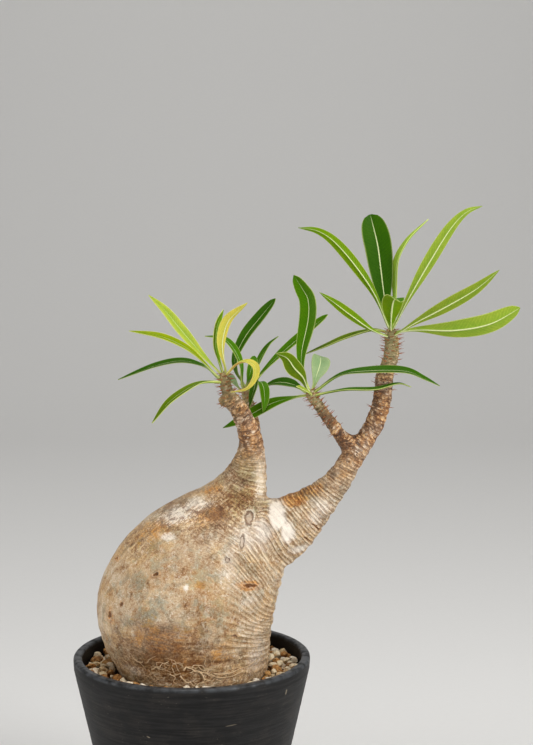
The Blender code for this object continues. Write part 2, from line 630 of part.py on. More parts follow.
def make_leaves(bark, bark_cutter, collection):
    finishes = {name: new_material(f"leaf_{name}", colour, 0.45) for name, colour in LEAF_COLOURS.items()}
    branches = {"left": LEFT_LEAVES, "back": BACK_LEAVES, "middle": MIDDLE_LEAVES, "right": RIGHT_LEAVES}
    for branch, leaves in branches.items():
        for index, (colour, blade, width, face, midrib) in enumerate(leaves):
            name = f"leaf_{branch}_{index + 1}"
            leaf = make_leaf(name, blade, width, face, midrib, bark, collection, finishes[colour])
            seat = leaf.modifiers.new("Seat on the stem", "BOOLEAN")
            seat.operation = "DIFFERENCE"
            seat.solver = "MANIFOLD"
            seat.object = bark_cutter
            apply_modifiers(leaf)
            shade_round(leaf, 50)


def main():
    clear_scene()
    plant = new_collection("potted_pachypodium")
    helpers = new_collection("cutters")
    make_pot(plant, helpers)
    make_grit(plant, helpers)
    bark, bark_cutter = make_caudex(plant, helpers)
    make_leaves(bark, bark_cutter, plant)


main()
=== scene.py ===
import json
import math
import random
from contextlib import contextmanager

import bpy
import numpy as np
from bpy.props import FloatProperty, FloatVectorProperty, IntProperty, PointerProperty
from mathutils import Euler, Matrix, Vector, noise
from mathutils.bvhtree import BVHTree

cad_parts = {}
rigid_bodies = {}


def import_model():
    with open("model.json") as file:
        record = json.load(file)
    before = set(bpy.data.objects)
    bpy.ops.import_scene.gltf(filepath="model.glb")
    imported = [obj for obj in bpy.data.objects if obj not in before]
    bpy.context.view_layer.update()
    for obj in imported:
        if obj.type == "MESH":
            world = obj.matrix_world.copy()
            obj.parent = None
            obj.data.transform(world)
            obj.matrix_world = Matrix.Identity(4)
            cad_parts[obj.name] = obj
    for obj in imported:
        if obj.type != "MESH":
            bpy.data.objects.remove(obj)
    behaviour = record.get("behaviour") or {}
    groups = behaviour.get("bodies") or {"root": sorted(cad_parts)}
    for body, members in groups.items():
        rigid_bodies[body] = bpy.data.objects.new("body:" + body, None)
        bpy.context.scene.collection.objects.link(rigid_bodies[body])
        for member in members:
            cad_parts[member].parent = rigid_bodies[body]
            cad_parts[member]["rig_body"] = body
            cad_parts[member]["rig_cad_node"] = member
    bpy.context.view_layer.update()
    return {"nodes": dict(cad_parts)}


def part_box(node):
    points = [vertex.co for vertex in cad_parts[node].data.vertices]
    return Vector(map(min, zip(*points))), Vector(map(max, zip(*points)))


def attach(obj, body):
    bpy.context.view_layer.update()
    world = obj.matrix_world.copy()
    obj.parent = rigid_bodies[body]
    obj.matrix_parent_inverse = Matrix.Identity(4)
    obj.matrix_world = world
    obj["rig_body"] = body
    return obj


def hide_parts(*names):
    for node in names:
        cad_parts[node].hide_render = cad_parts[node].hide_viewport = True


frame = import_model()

bl_info = {
    "name": "Potted pachypodium",
    "version": (1, 0, 0),
    "blender": (4, 5, 0),
    "location": "View3D > Sidebar > Pachypodium",
    "description": "Finishes a potted pachypodium: bark, spines, leaves, dried roots, grit and a turned pot",
    "category": "Add Mesh",
}

MM = 0.001
POT_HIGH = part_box("pot")[1]
GRIT_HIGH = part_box("grit")[1]

# Lines through the middle of each limb, in millimetres, all from the root upwards.
TRUNK = ((0, 0, 84), (-1, 0, 108), (1, 0, 128))
TO_RIGHT = ((18, 0, 141), (38, 0, 153), (51, 0, 162), (63, 0, 172.5), (75, 0, 186.5))
LIMBS = {
    "neck": (*TRUNK, (5, 0, 150), (14, 0, 169), (25, 0, 182), (29.5, -2, 194), (30.3, -3, 203), (28, -5, 214),
             (21, -6.5, 226), (17.4, -7.7, 234), (17, -8, 241)),
    "right": (*TRUNK, *TO_RIGHT, (83.5, 0.5, 200), (91.5, 2, 212.5), (95.5, 3, 225), (97, 4, 237),
              (100, 5.5, 248), (100, 6, 261)),
    "middle": (*TRUNK, *TO_RIGHT, (78, 0, 204), (70, -3, 214.5), (61.5, -5, 226.5), (59, -6, 232)),
    "back": (*TRUNK, (5, 0, 150), (14, 0, 169), (25, 0, 182), (30, -1, 192), (32, 4, 204), (31, 11, 216),
             (27.5, 16, 227), (27.3, 16, 231)),
}

# How far down from its tip each limb bears spines, in millimetres.
YOUNG_WOOD = {"right": 31, "middle": 24, "neck": 19, "back": 18}

# Dried roots on the front of the foot: radius, then points (x, z), in millimetres.
FRONT_ROOTS = (
    (0.30, (-2.4, 99.2), (-0.9, 100.7), (1.5, 99.7), (4, 97.7), (7.4, 97.2), (10.3, 95.2), (14.2, 94.2)),
    (0.24, (0.6, 97.7), (3.5, 98.7), (5.9, 97.7), (8.8, 96.7), (11.8, 95.2), (14.7, 95.6), (18, 94.6)),
    (0.30, (5.4, 97.7), (6.9, 95.7), (7.4, 92.7), (5, 91.7), (3.5, 90.7), (1.5, 90.9)),
    (0.26, (-3.8, 96.2), (-1.9, 93.2), (0.6, 92.2), (3, 90.2)),
    (0.22, (11.8, 96.2), (17.6, 95.3), (23.9, 96.2), (29.8, 97.2), (34.5, 98.7)),
    (0.18, (12.7, 94.2), (19.1, 93.3), (24.9, 94.7), (30.8, 94.9), (34, 96.2)),
    (0.20, (-17.9, 98.7), (-15, 100.2), (-13.1, 99), (-10.6, 100.5)),
    (0.20, (-14, 100), (-12.4, 102.4), (-9.4, 103.6)),
    (0.16, (1, 99.8), (3, 101.5), (6.5, 101), (8, 99)),
    (0.18, (-9, 97), (-6.5, 95), (-7.5, 92.6), (-5, 91)),
    (0.16, (8, 96.6), (10, 98.6), (13, 98.2)),
    (0.20, (7, 94.4), (10.5, 92.6), (12.5, 93.4), (15.5, 91.8)),
)

# Old marks on the bark: middle, reach in x, y and z in millimetres, and tilt in degrees in the front view.
KNOTS = (
    ((29.3, -17.8, 168.9), (2.0, 9, 3.2), 6),
    ((25.9, -25.7, 158.8), (1.1, 9, 3.6), 4),
    ((18.8, -32, 151.6), (1.2, 9, 1.1), 0),
    ((12, 34, 152), (3, 9, 3.6), 0),
    ((-20, 34, 128), (3.6, 9, 2.4), 15),
    ((-38, 10, 140), (9, 2.4, 3), 0),
)
PITS = (
    ((29.8, -32, 138.4), (3.4, 9, 0.9), 14),
    ((-15.8, -34.5, 145.0), (1.5, 9, 0.8), -30),
    ((-39.1, -26.3, 122.3), (0.8, 9, 1.9), 10),
    ((-37.9, -12, 147.1), (9, 1.4, 0.8), 0),
    ((22.6, -36.4, 114.6), (1.1, 9, 0.5), 35),
    ((-33, -31, 129), (0.6, 9, 1.2), 30),
    ((9, -38, 119), (0.5, 9, 0.5), 0),
    ((62.5, -9.7, 162.8), (0.4, 9, 3.4), -41),
    ((58.0, -11.4, 156.8), (0.35, 9, 2.4), -41),
    ((26, 30, 140), (2.4, 9, 1.0), 20),
    ((-4, 40, 132), (1.2, 9, 1.4), 0),
    ((20, 26, 165), (1.0, 9, 1.8), 0),
)

# Scratches and dry spots on the pot, given the same way.
SCRATCHES = (
    ((20.8, -50.5, 75), (3.4, 9, 0.35), -4),
    ((47.5, -31, 86), (0.5, 9, 2.2), 12),
    ((-19, -50, 69), (1.2, 9, 0.4), 20),
    ((14, 50, 60), (2.8, 9, 0.4), 8),
)

# Heights in millimetres: fine rings alone above the first, and broad ridges alone below the second.
FINE_RINGS_FROM, BROAD_RIDGES_TO = 142, 130

# Patches on the bark, of colour or roughness: middle and reach in millimetres, and strength.
PATCHES = {
    "orange": (
        ((29.8, -32, 138.6), (5.5, 10, 3), 1.1),
        ((6, -40, 140.5), (4.5, 10, 2.5), 0.6),
        ((-38, -27, 121), (4, 10, 4), 0.5),
        ((51, -3, 176), (9, 14, 4.5), 1.1),
        ((62, 0, 179), (10, 12, 4.5), 0.8),
        ((76, -3, 189), (7, 12, 6), 0.4),
        ((86, 0, 198), (5, 10, 7), 0.5),
        ((88, 0, 216), (5, 10, 8), 0.5),
        ((10, -9, 182), (8, 10, 5), 0.6),
        ((-20, -18, 161), (14, 20, 10), 0.4),
        ((-12, -22, 166), (10, 14, 5), 0.5),
        ((15, -22, 172), (10, 14, 8), 0.45),
        ((-17, -22, 163), (9, 14, 6), 0.5),
        ((-14, -42, 115), (24, 30, 14), 0.55),
        ((-6, -40, 103), (30, 30, 5), 0.45),
        ((14, -38, 105), (16, 20, 8), 0.5),
        ((34, -28, 118), (13, 20, 22), 0.38),
        ((8, -20, 172), (20, 18, 10), 0.4),
        ((22, -34, 146), (14, 16, 14), 0.3),
        ((10, 30, 150), (16, 16, 14), 0.5),
        ((27, -9, 198), (8, 12, 8), 0.5),
    ),
    "green": (
        ((27, -11, 189), (7, 12, 10), 0.8),
        ((35, -13, 175), (6, 10, 4.5), 1.0),
        ((25, -15, 179), (9, 12, 7), 0.8),
        ((8, -36, 144), (15, 16, 14), 0.6),
        ((-17, -36, 148), (8, 10, 5.5), 0.7),
        ((-21, -41, 127), (8, 12, 7), 0.8),
        ((-25, -32, 141), (7, 12, 8), 0.7),
        ((-15, -41, 130), (8, 12, 6), 0.8),
        ((-6, -42, 122), (10, 12, 5), 0.6),
        ((-15, -30, 157), (10, 12, 7), 0.5),
        ((20, -20, 171), (6, 12, 4), 0.6),
        ((-30, -37, 121), (7, 12, 6), 0.6),
        ((14, -39, 128), (18, 16, 9), 0.75),
        ((-10, -34, 156), (12, 14, 8), 0.5),
        ((40, -20, 150), (8, 14, 10), 0.3),
        ((-10, 38, 130), (18, 16, 20), 0.5),
        ((17.5, -8, 236), (9, 9, 13), 0.95),
        ((99.5, 5, 254), (9, 9, 17), 1.0),
        ((60, -5, 227), (10, 9, 15), 1.0),
        ((27.5, 16, 226), (9, 9, 14), 0.9),
    ),
    # The dark patches are partly the bark's own dark pigment and partly painted shade, under the curve of the
    # foot and on the shaded left sides of the limbs.
    "dark": (
        ((-12, -38, 104), (28, 50, 15), 0.85),
        ((2, -40, 102), (24, 30, 3), 0.9),
        ((-12, -42, 119), (22, 30, 6), 0.6),
        ((-21, -41, 122), (9, 20, 6), 0.45),
        ((10, 34, 96), (50, 50, 18), 0.7),
        ((-14, -6, 174), (20, 14, 8), 0.6),
        ((22, -14, 178), (10, 14, 8), 0.75),
        ((13, -22, 172), (9, 14, 8), 0.95),
        ((8, -28, 163), (12, 14, 8), 0.6),
        ((8, -34, 152), (10, 14, 8), 0.35),
        ((-28, -18, 160), (14, 22, 10), 0.4),
        ((20, -8, 190), (6, 12, 16), 0.45),
        ((60, 2, 180), (18, 12, 7), 0.5),
        ((70, -4, 189), (5, 14, 6), 0.55),
        ((76, -2, 203), (6, 14, 7), 0.8),
        ((67, -4, 217), (6, 12, 8), 0.75),
        ((95, 0, 230), (6, 14, 8), 0.8),
        ((65, -5, 184), (5, 14, 4), 0.5),
        ((24, -12, 186), (6, 12, 5), 0.6),
        ((10, 34, 150), (26, 20, 20), 0.35),
    ),
    # Pale patches: a chalky film, and partly painted light low on the foot and on the lower right flank,
    # which lifts parts that fall in shade.
    "pale": (
        ((43, -12, 170), (4.8, 14, 7.5), 1.5),
        ((48, -12, 161), (3.8, 14, 6), 1.2),
        ((54, -11, 152), (6, 12, 3), 0.8),
        ((36, -17, 162), (9, 14, 9), 0.75),
        ((28, -24, 160), (9, 14, 11), 0.65),
        ((20, -33, 149), (8, 14, 18), 0.5),
        ((62, -12, 168), (8, 12, 8), 0.55),
        ((27, -9, 204), (9, 12, 16), 0.35),
        ((-10.3, -25.8, 161.4), (5.5, 9, 2), 0.85),
        ((-1, -41, 139.5), (1.6, 8, 1.4), 1.1),
        ((29, -32, 131), (7, 12, 4), 0.55),
        ((35, -8, 190), (4, 14, 20), 0.85),
        ((31, -8, 217), (3.5, 14, 8), 0.9),
        ((84, -4, 204), (5, 12, 5), 0.9),
        ((89, -3, 211), (4, 12, 4), 0.5),
        ((-27, -31, 95), (9, 20, 5), 0.6),
        ((33, -28, 117), (10, 18, 10), 0.35),
        ((33, -24, 99), (8, 18, 14), 0.6),
        ((33, -28, 130), (8, 18, 14), 0.35),
        ((-7, -17, 171), (12, 12, 6), 0.95),
        ((3, -15, 176), (8, 12, 5), 0.9),
        ((66, -9, 174), (8, 12, 7), 0.6),
        ((-14, -38, 92), (24, 30, 5), 0.4),
        ((16, -36, 91), (20, 30, 5), 0.4),
        ((-40, 0, 112), (8, 30, 10), 0.25),
    ),
    "rough": (
        ((-4, -18, 171), (26, 18, 10), 1.0),
        ((22, -16, 176), (14, 14, 11), 1.0),
        ((-26, -12, 158), (12, 20, 10), 0.7),
        ((-12, -40, 96), (32, 30, 12), 0.9),
        ((14, -34, 94), (22, 30, 9), 0.8),
        ((16, 24, 168), (20, 16, 12), 0.8),
    ),
}

# Colours of leaf surfaces, and how strongly their margins and middles stand out.
LEAF_COLOURS = {
    "deep": (0.028, 0.098, 0, 0.3),
    "green": (0.055, 0.16, 0, 0.45),
    "moss": (0.1, 0.165, 0, 0.7),
    "grass": (0.13, 0.24, 0, 0.5),
    "spring": (0.17, 0.31, 0, 0.9),
    "fern": (0.2, 0.29, 0.02, 0.5),
    "khaki": (0.22, 0.28, 0, 0.9),
    "olive": (0.24, 0.35, 0.03, 0.5),
    "pear": (0.3, 0.46, 0.04, 0.6),
    "sage": (0.26, 0.37, 0.17, 0.3),
    "lime": (0.34, 0.42, 0.04, 0.9),
    "yellow": (0.56, 0.51, 0.07, 0.4),
    "tan": (0.6, 0.36, 0.08, 0.3),
}

# Leaf blades: (place along the leaf, share of full width).
LANCE = ((0, 0.17), (0.12, 0.22), (0.25, 0.48), (0.4, 0.85), (0.55, 1), (0.7, 0.92), (0.83, 0.66),
         (0.93, 0.34), (1, 0.03))
BLUNT = ((0, 0.12), (0.12, 0.2), (0.25, 0.42), (0.4, 0.75), (0.55, 0.96), (0.7, 1), (0.84, 0.88),
         (0.95, 0.55), (1, 0.06))
ROUND = ((0, 0.12), (0.12, 0.2), (0.25, 0.42), (0.4, 0.72), (0.55, 0.9), (0.7, 0.99), (0.82, 1),
         (0.92, 0.84), (0.98, 0.5), (1, 0.1))

# A leaf: slot, colours of its upper and under side, blade, width in millimetres, the way its upper side
# faces at mid length, and its midrib in millimetres from inside the tip of its stem to its own tip.
LEAVES = {
    "left": (
        ("leaf_lime", "lime", "lime", LANCE, 6.2, (0.4, -0.8, 0.45),
         ((17, -8, 238), (14, -8.8, 241), (5, -11, 251), (-4.5, -12, 262.5), (-12, -11, 271.5),
          (-20, -8, 278.5))),
        ("leaf_lime", "khaki", "sage", LANCE, 5.2, (0.1, -0.5, 0.85),
         ((17, -8, 236.5), (13.3, -10, 239), (5.5, -16, 248), (-2, -20, 254.5), (-13.5, -24, 260),
          (-28.5, -24, 262.5))),
        ("leaf_deep_green", "deep", "green", LANCE, 5.5, (-0.2, -0.4, 0.9),
         ((17, -8, 236), (13.2, -6.6, 238), (7.5, -3, 242.5), (-4, 4, 244.5), (-18, 9, 241.5),
          (-37, 11, 234))),
        ("leaf_green", "moss", "olive", LANCE, 5.5, (-0.55, -0.55, 0.6),
         ((17, -8, 235), (14, -11, 236), (6, -17, 236.5), (-1.5, -22, 233.5), (-10, -26, 227.5),
          (-17.5, -28, 218))),
        ("leaf_light_green", "spring", "spring", LANCE, 6, (0.8, -0.6, 0),
         ((17, -8, 238.5), (15.6, -5.6, 242), (13, -4, 251), (13, -2, 258), (14, 0, 264.5),
          (16.5, 1, 270.5))),
        ("leaf_yellow", "yellow", "yellow", LANCE, 7, (-0.65, 0.7, 0.2),
         ((17, -8, 239), (17.6, -8.4, 242), (15.8, -8.4, 250.5), (16.2, -8.5, 258.5), (19.5, -9, 267),
          (28.5, -12, 275))),
        ("leaf_yellow", "yellow", "tan", LANCE, 5.2, (0.35, -0.5, 0.75),
         ((17, -8, 238), (19.4, -11, 241), (23.5, -14, 245.5), (28.5, -18, 247), (32.5, -20, 244.5),
          (32, -19, 239), (28, -17, 233.5), (20.5, -16, 231.5))),
    ),
    "back": (
        ("leaf_green", "deep", "green", BLUNT, 8, (-0.6, -0.7, 0.25),
         ((27.2, 16, 229), (25.6, 17.4, 232), (22.5, 20, 237), (22, 23, 244), (27, 26, 254.5),
          (34.5, 28, 264), (42.5, 28, 273.5))),
        ("leaf_green", "green", "olive", LANCE, 6, (0.65, -0.43, 0.55),
         ((27.2, 16, 228), (25.6, 14.2, 231), (25, 14.5, 241), (21.5, 16, 249), (16, 18, 254),
          (6.5, 21, 255))),
        ("leaf_green", "green", "green", LANCE, 5, (-0.7, -0.5, 0.5),
         ((27.2, 16, 228), (28.8, 18.8, 231), (32.5, 22, 238.5), (35.5, 27, 244.5), (39, 31, 249.5),
          (44, 34, 253.5))),
        ("leaf_green", "green", "olive", BLUNT, 7, (-0.55, -0.5, 0.65),
         ((27.2, 16, 227.5), (30.6, 17, 230), (35.5, 19, 236.5), (45, 21, 246), (56, 22, 255.5),
          (69, 21, 266))),
        ("leaf_deep_green", "deep", "deep", LANCE, 6, (-0.5, -0.8, 0),
         ((27.2, 16, 228.5), (28.2, 12.8, 231.5), (31.5, 8, 236), (32, 3, 232.5), (30.5, 1, 227),
          (29.5, 1, 221.5))),
        ("leaf_green", "green", "green", LANCE, 6, (0.4, -0.85, 0),
         ((27.2, 16, 227), (30, 13.6, 229.5), (34.5, 8, 233.5), (36.5, 3, 231), (37, 1, 225),
          (36.2, 0, 219))),
        ("leaf_green", "green", "olive", BLUNT, 5, (0.3, -0.9, 0.2),
         ((27.2, 16, 229.5), (28.4, 15.2, 232.5), (29.6, 15, 237), (30.9, 16.4, 241.5), (31.9, 19.4, 245))),
        ("leaf_green", "sage", "sage", LANCE, 5, (0.2, -0.8, 0.6),
         ((27.2, 16, 227), (24, 16.2, 229), (21, 17.6, 232.5), (17.5, 21, 234.5), (12.5, 25, 234))),
    ),
    "middle": (
        ("leaf_deep_green", "green", "green", BLUNT, 9.5, (-0.4, -0.8, 0),
         ((59.6, -6, 230), (58.2, -4.2, 233), (55.5, -1, 240.5), (55.5, 2, 250), (58.5, 5, 265),
          (58.5, 7, 274.5), (55.5, 8, 280.5), (51.5, 8, 287))),
        ("leaf_light_green", "green", "moss", LANCE, 8.2, (-0.5, 0.75, 0.4),
         ((60, -6, 229.5), (57.8, -8.8, 232.5), (55.3, -15, 239), (51, -22, 244.5), (47.5, -28, 250),
          (42.5, -32, 252.5))),
        # The pale sage of this leaf is painted sheen over its green.
        ("leaf_light_green", "sage", "sage", BLUNT, 10, (0.15, -0.9, 0.4),
         ((60, -6, 229.5), (61.4, -4, 233), (62.8, 0, 237.5), (64.3, 5, 241), (65.2, 10, 243.5),
          (65.4, 15, 244.8), (65, 19, 245))),
        ("leaf_deep_green", "deep", "green", LANCE, 7, (0, -0.6, 0.8),
         ((60, -6, 229), (56.2, -3.8, 230.5), (52.5, 1, 232.5), (46.5, 6, 233.5), (41, 10, 232.5),
          (35.5, 12, 229.5))),
        ("leaf_green", "green", "green", LANCE, 6.5, (-0.15, -0.85, 0.5),
         ((61, -5.5, 227.5), (56.8, -6, 228.4), (44.5, 0, 225), (37, 2.8, 221.5), (30, 3.7, 217.5),
          (22.5, 4, 213.5), (16, 4, 210.5))),
        ("leaf_deep_green", "deep", "green", LANCE, 7.5, (0, -0.35, 0.9),
         ((60, -6, 229), (63.2, -7, 231.5), (74, -11, 239.5), (88.5, -14, 242), (105.5, -15, 242),
          (115.5, -14, 238), (123, -12, 234))),
        ("leaf_green", "green", "moss", LANCE, 5, (0, -0.15, 1),
         ((60.5, -6, 228), (64, -8, 229.5), (76.5, -13, 232.5), (91, -15, 233), (102.5, -14, 235.5),
          (109, -12, 233.5))),
        ("leaf_lime", "lime", "lime", LANCE, 3.4, (0.3, -0.5, 0.8),
         ((60.4, -6, 228), (60, -9.4, 229.8), (57.6, -13.5, 231.8), (54.8, -17, 233.8), (52.4, -20, 235))),
    ),
    "right": (
        ("leaf_light_green", "green", "grass", LANCE, 5.8, (0.05, 0.95, 0.1),
         ((100, 6, 259.5), (98, 5, 263), (91.5, 3, 278), (82, 1, 292), (71.5, 0, 304), (63, 0, 309.5),
          (53.5, 1, 311))),
        ("leaf_deep_green", "deep", "olive", ROUND, 14.5, (0, -0.95, 0.3),
         ((100, 6, 259.5), (99, 8, 262.5), (97, 13, 276.5), (95.5, 18, 290), (94, 22, 302),
          (90.5, 26, 316.5))),
        ("leaf_light_green", "pear", "pear", LANCE, 8.5, (-0.9, -0.2, 0.4),
         ((100, 6, 259.5), (101.6, 7.8, 262.5), (102.5, 13, 278), (103.5, 18, 293), (109.5, 23, 304),
          (120, 27, 314))),
        ("leaf_light_green", "green", "olive", LANCE, 7, (-0.15, 0.92, 0.25),
         ((100, 6, 259), (102, 4.4, 262.5), (108, 0, 276), (118, -5, 295), (127.5, -8, 311), (135, -9, 319),
          (143, -8, 322))),
        ("leaf_light_green", "green", "fern", LANCE, 7.2, (0.1, 0.87, 0.35),
         ((100, 6, 256.5), (103.4, 2.6, 258.5), (111.5, -3, 264.5), (125.5, -10, 273), (139.5, -15, 282),
          (150.5, -18, 291.5))),
        ("leaf_light_green", "green", "olive", BLUNT, 11.2, (-0.1, 0.93, 0.35),
         ((100, 6, 258), (104.6, 5.6, 259), (114, 2, 260.5), (131, -4, 261), (147.5, -8, 264.5),
          (162, -10, 272.5))),
        ("leaf_green", "green", "grass", LANCE, 5, (-0.2, 0.85, 0.4),
         ((100, 6, 256), (96.6, 3, 257.5), (89, -3, 261.5), (78.5, -11, 269.5), (71, -17, 275.5),
          (63.5, -22, 281))),
        ("leaf_green", "moss", "olive", LANCE, 7.5, (-0.2, -0.2, 0.9),
         ((100, 6, 257.5), (96.8, 8.6, 258.8), (90, 13, 259), (77.5, 19, 254.5), (67.5, 24, 249.5),
          (57.5, 27, 245))),
        ("leaf_light_green", "green", "grass", BLUNT, 11, (0, 0.95, 0.3),
         ((100, 6, 258.5), (99.8, 2.6, 261), (99.5, -3, 268), (99.8, -9, 275), (100.8, -14, 277.8),
          (103, -18, 276))),
    ),
}


class Recipe:
    """A material under construction. Each method adds one node and returns its main output."""

    def __init__(self, name):
        self.material = bpy.data.materials.new(name)
        self.material.use_nodes = True
        self.tree = self.material.node_tree
        self.shader = self.tree.nodes["Principled BSDF"]
        self.place = self.node("TexCoord").outputs["Object"]

    def node(self, kind, inputs=None, **settings):
        made = self.tree.nodes.new("ShaderNode" + kind)
        for setting, value in settings.items():
            setattr(made, setting, value)
        for socket, value in (inputs or {}).items():
            self.put(made.inputs[socket], value)
        return made

    def put(self, socket, value):
        """Links a socket to another node's output, or sets it to a value."""
        if isinstance(value, bpy.types.NodeSocket):
            self.tree.links.new(value, socket)
        else:
            socket.default_value = value

    def finish(self, **inputs):
        """Sets or links the shader's own sockets, whose names have their spaces written as underscores."""
        for socket, value in inputs.items():
            self.put(self.shader.inputs[socket.replace("_", " ")], value)
        return self.material

    def stretched(self, vector, scale):
        return self.node("Mapping", {"Vector": vector, "Scale": scale}).outputs["Vector"]

    def noise(self, vector, size, detail=3, roughness=0.55, distortion=0):
        """Noise whose lumps are about as large as the given size in metres."""
        inputs = {"Vector": vector, "Scale": 1 / size, "Detail": detail, "Roughness": roughness,
                  "Distortion": distortion}
        return self.node("TexNoise", inputs).outputs[0]

    def wavering(self, vector, scale, reach):
        """The vector shifted by noise of the given scale, so that an outline drawn with it wavers."""
        shift = self.node("TexNoise", {"Vector": vector, "Scale": scale, "Detail": 3}).outputs["Color"]
        middle = (0.5, 0.5, 0.5)
        shift = self.node("VectorMath", {0: shift, 1: middle}, operation="SUBTRACT").outputs["Vector"]
        inputs = {0: shift, 1: (reach, reach, reach), 2: vector}
        return self.node("VectorMath", inputs, operation="MULTIPLY_ADD").outputs["Vector"]

    def cells(self, vector, size, randomness=1, output="Distance"):
        inputs = {"Vector": vector, "Scale": 1 / size, "Randomness": randomness}
        return self.node("TexVoronoi", inputs).outputs[output]

    def attribute(self, name, output="Color"):
        return self.node("Attribute", attribute_name=name).outputs[output]

    def split(self, vector):
        return self.node("SeparateXYZ", {"Vector": vector}).outputs

    def joined(self, x, y, z):
        return self.node("CombineXYZ", {"X": x, "Y": y, "Z": z}).outputs["Vector"]

    def band(self, value, low, high, start=0, end=1):
        """A smooth step of a value from low to high, which runs from start to end."""
        inputs = {"Value": value, "From Min": low, "From Max": high, "To Min": start, "To Max": end}
        return self.node("MapRange", inputs, interpolation_type="SMOOTHSTEP").outputs["Result"]

    def math(self, operation, first, second=0.0):
        made = self.node("Math", operation=operation)
        self.put(made.inputs[0], first)
        self.put(made.inputs[1], second)
        return made.outputs["Value"]

    def product(self, first, *others):
        for other in others:
            first = self.math("MULTIPLY", first, other)
        return first

    def paint(self, colour, paint, *masks):
        """Lays a paint over a colour, as far as all the masks let it through."""
        return self.mix(self.product(*masks), colour, paint)

    def glaze(self, colour, glaze, *masks):
        """Multiplies a colour by a glaze, as far as all the masks let it through."""
        return self.mix(self.product(*masks), colour, glaze, "MULTIPLY")

    def mix(self, factor, first, second, blend="MIX"):
        made = self.node("Mix", data_type="RGBA", blend_type=blend)
        for socket, value in ((made.inputs[0], factor), (made.inputs[6], first), (made.inputs[7], second)):
            self.put(socket, (*value, 1) if isinstance(value, tuple) else value)
        return made.outputs[2]

    def ramp(self, value, stops):
        made = self.node("ValToRGB", {"Fac": value})
        while len(made.color_ramp.elements) < len(stops):
            made.color_ramp.elements.new(0.5)
        for element, (place, colour) in zip(made.color_ramp.elements, stops):
            element.position = place
            element.color = (*colour, 1)
        return made.outputs["Color"]

    def tone(self, *parts):
        """A tone near one half, from several (noise, weight) pairs."""
        total = 0.5 - 0.5 * sum(weight for _, weight in parts)
        for value, weight in parts:
            total = self.node("Math", {0: value, 1: weight, 2: total}, operation="MULTIPLY_ADD").outputs[0]
        return total

    def ragged(self, mask, noise, reach=0.9, low=0.38, high=0.6):
        """A mask whose edge is broken up by noise."""
        return self.band(self.tone((mask, 1), (noise, reach)), low, high)

    def nearest_mark(self, marks, vector):
        """How far the nearest of some oval marks is: 1 at its edge."""
        nearest = None
        for middle, reach, tilt in marks:
            inputs = {"Vector": vector, "Location": [part * MM for part in middle],
                      "Rotation": (0, math.radians(tilt), 0), "Scale": [part * MM for part in reach]}
            local = self.node("Mapping", inputs, vector_type="TEXTURE").outputs["Vector"]
            apart = self.node("VectorMath", {0: local}, operation="LENGTH").outputs["Value"]
            nearest = apart if nearest is None else self.math("MINIMUM", nearest, apart)
        return nearest

    def bump(self, height, depth, normal=None):
        """A bump whose full height is the given depth in metres."""
        inputs = {"Height": height, "Distance": depth}
        if normal:
            inputs["Normal"] = normal
        return self.node("Bump", inputs).outputs["Normal"]


def select_only(*objects):
    bpy.ops.object.select_all(action="DESELECT")
    for obj in objects:
        obj.select_set(True)
    bpy.context.view_layer.objects.active = objects[0]


@contextmanager
def edit_mode(first="SELECT"):
    """Edit mode, with everything selected or deselected first, or with no change to the selection."""
    bpy.ops.object.mode_set(mode="EDIT")
    if first:
        bpy.ops.mesh.select_all(action=first)
    yield
    bpy.ops.object.mode_set(mode="OBJECT")


def apply_modifier(obj, name, kind, **settings):
    """Adds a modifier with its settings, and applies it."""
    select_only(obj)
    modifier = obj.modifiers.new(name, kind)
    for setting, value in settings.items():
        setattr(modifier, setting, value)
    bpy.ops.object.modifier_apply(modifier=name)


def finish_piece(obj, name, material, slot, *nodes):
    """Names a piece, gives it its finish, attaches it to the root body, and hides the CAD nodes it replaces.
    """
    select_only(obj)
    bpy.ops.object.transform_apply(location=True, rotation=True, scale=True)
    obj.name = name
    obj.data.name = name
    obj.data.materials.clear()
    obj.data.materials.append(material)
    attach(obj, "root")
    if nodes:
        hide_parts(*nodes)


def smooth_by_angle(obj, degrees):
    select_only(obj)
    bpy.ops.object.shade_smooth_by_angle(angle=math.radians(degrees))


def ring_solid(profile, segments):
    """A turned solid: a circle extruded from ring to ring of (radius, height), and filled at both ends."""
    radius, height = profile[0]
    bpy.ops.object.select_all(action="DESELECT")
    bpy.ops.mesh.primitive_circle_add(vertices=segments, radius=radius, location=(0, 0, height))
    with edit_mode():
        for wider, higher in profile[1:]:
            bpy.ops.mesh.extrude_region_move(TRANSFORM_OT_translate={"value": (0, 0, higher - height)})
            growth = wider / radius
            bpy.ops.transform.resize(value=(growth, growth, 1), center_override=(0, 0, higher))
            radius, height = wider, higher
        bpy.ops.mesh.select_all(action="SELECT")
        bpy.ops.mesh.fill_holes(sides=0)
        bpy.ops.mesh.normals_make_consistent(inside=False)
    return bpy.context.object


def arc(radius, height, start, end, size, steps=6):
    """Points of a rounded profile corner, which turns from one angle to another."""
    angles = [math.radians(start + (end - start) * step / steps) for step in range(steps + 1)]
    return [(radius + size * math.cos(angle), height + size * math.sin(angle)) for angle in angles]


def smooth_step(value, low, high):
    """0 below low and 1 above high, with a smooth rise between; low may be the greater."""
    share = np.clip((value - low) / (high - low), 0, 1)
    return share * share * (3 - 2 * share)


def curve_through(points, steps):
    """Points on a smooth curve through the given ones, with so many steps in each span."""
    points = [Vector(point) for point in points]
    ends = [2 * points[0] - points[1], *points, 2 * points[-1] - points[-2]]
    found = []
    for before, start, end, after in zip(ends, ends[1:], ends[2:], ends[3:]):
        for step in range(steps):
            t = step / steps
            bend = (2 * before - 5 * start + 4 * end - after) * t * t
            turn = (3 * start - before - 3 * end + after) * t * t * t
            found.append((2 * start + (end - before) * t + bend + turn) / 2)
    return found + [points[-1]]


def noise_at(points, size, shift=0.0):
    """Smooth noise from -1 to 1 at each of an array of points."""
    offset = Vector((shift, 2 * shift, -shift))
    return np.array([noise.noise(Vector(point) / size + offset) for point in points])


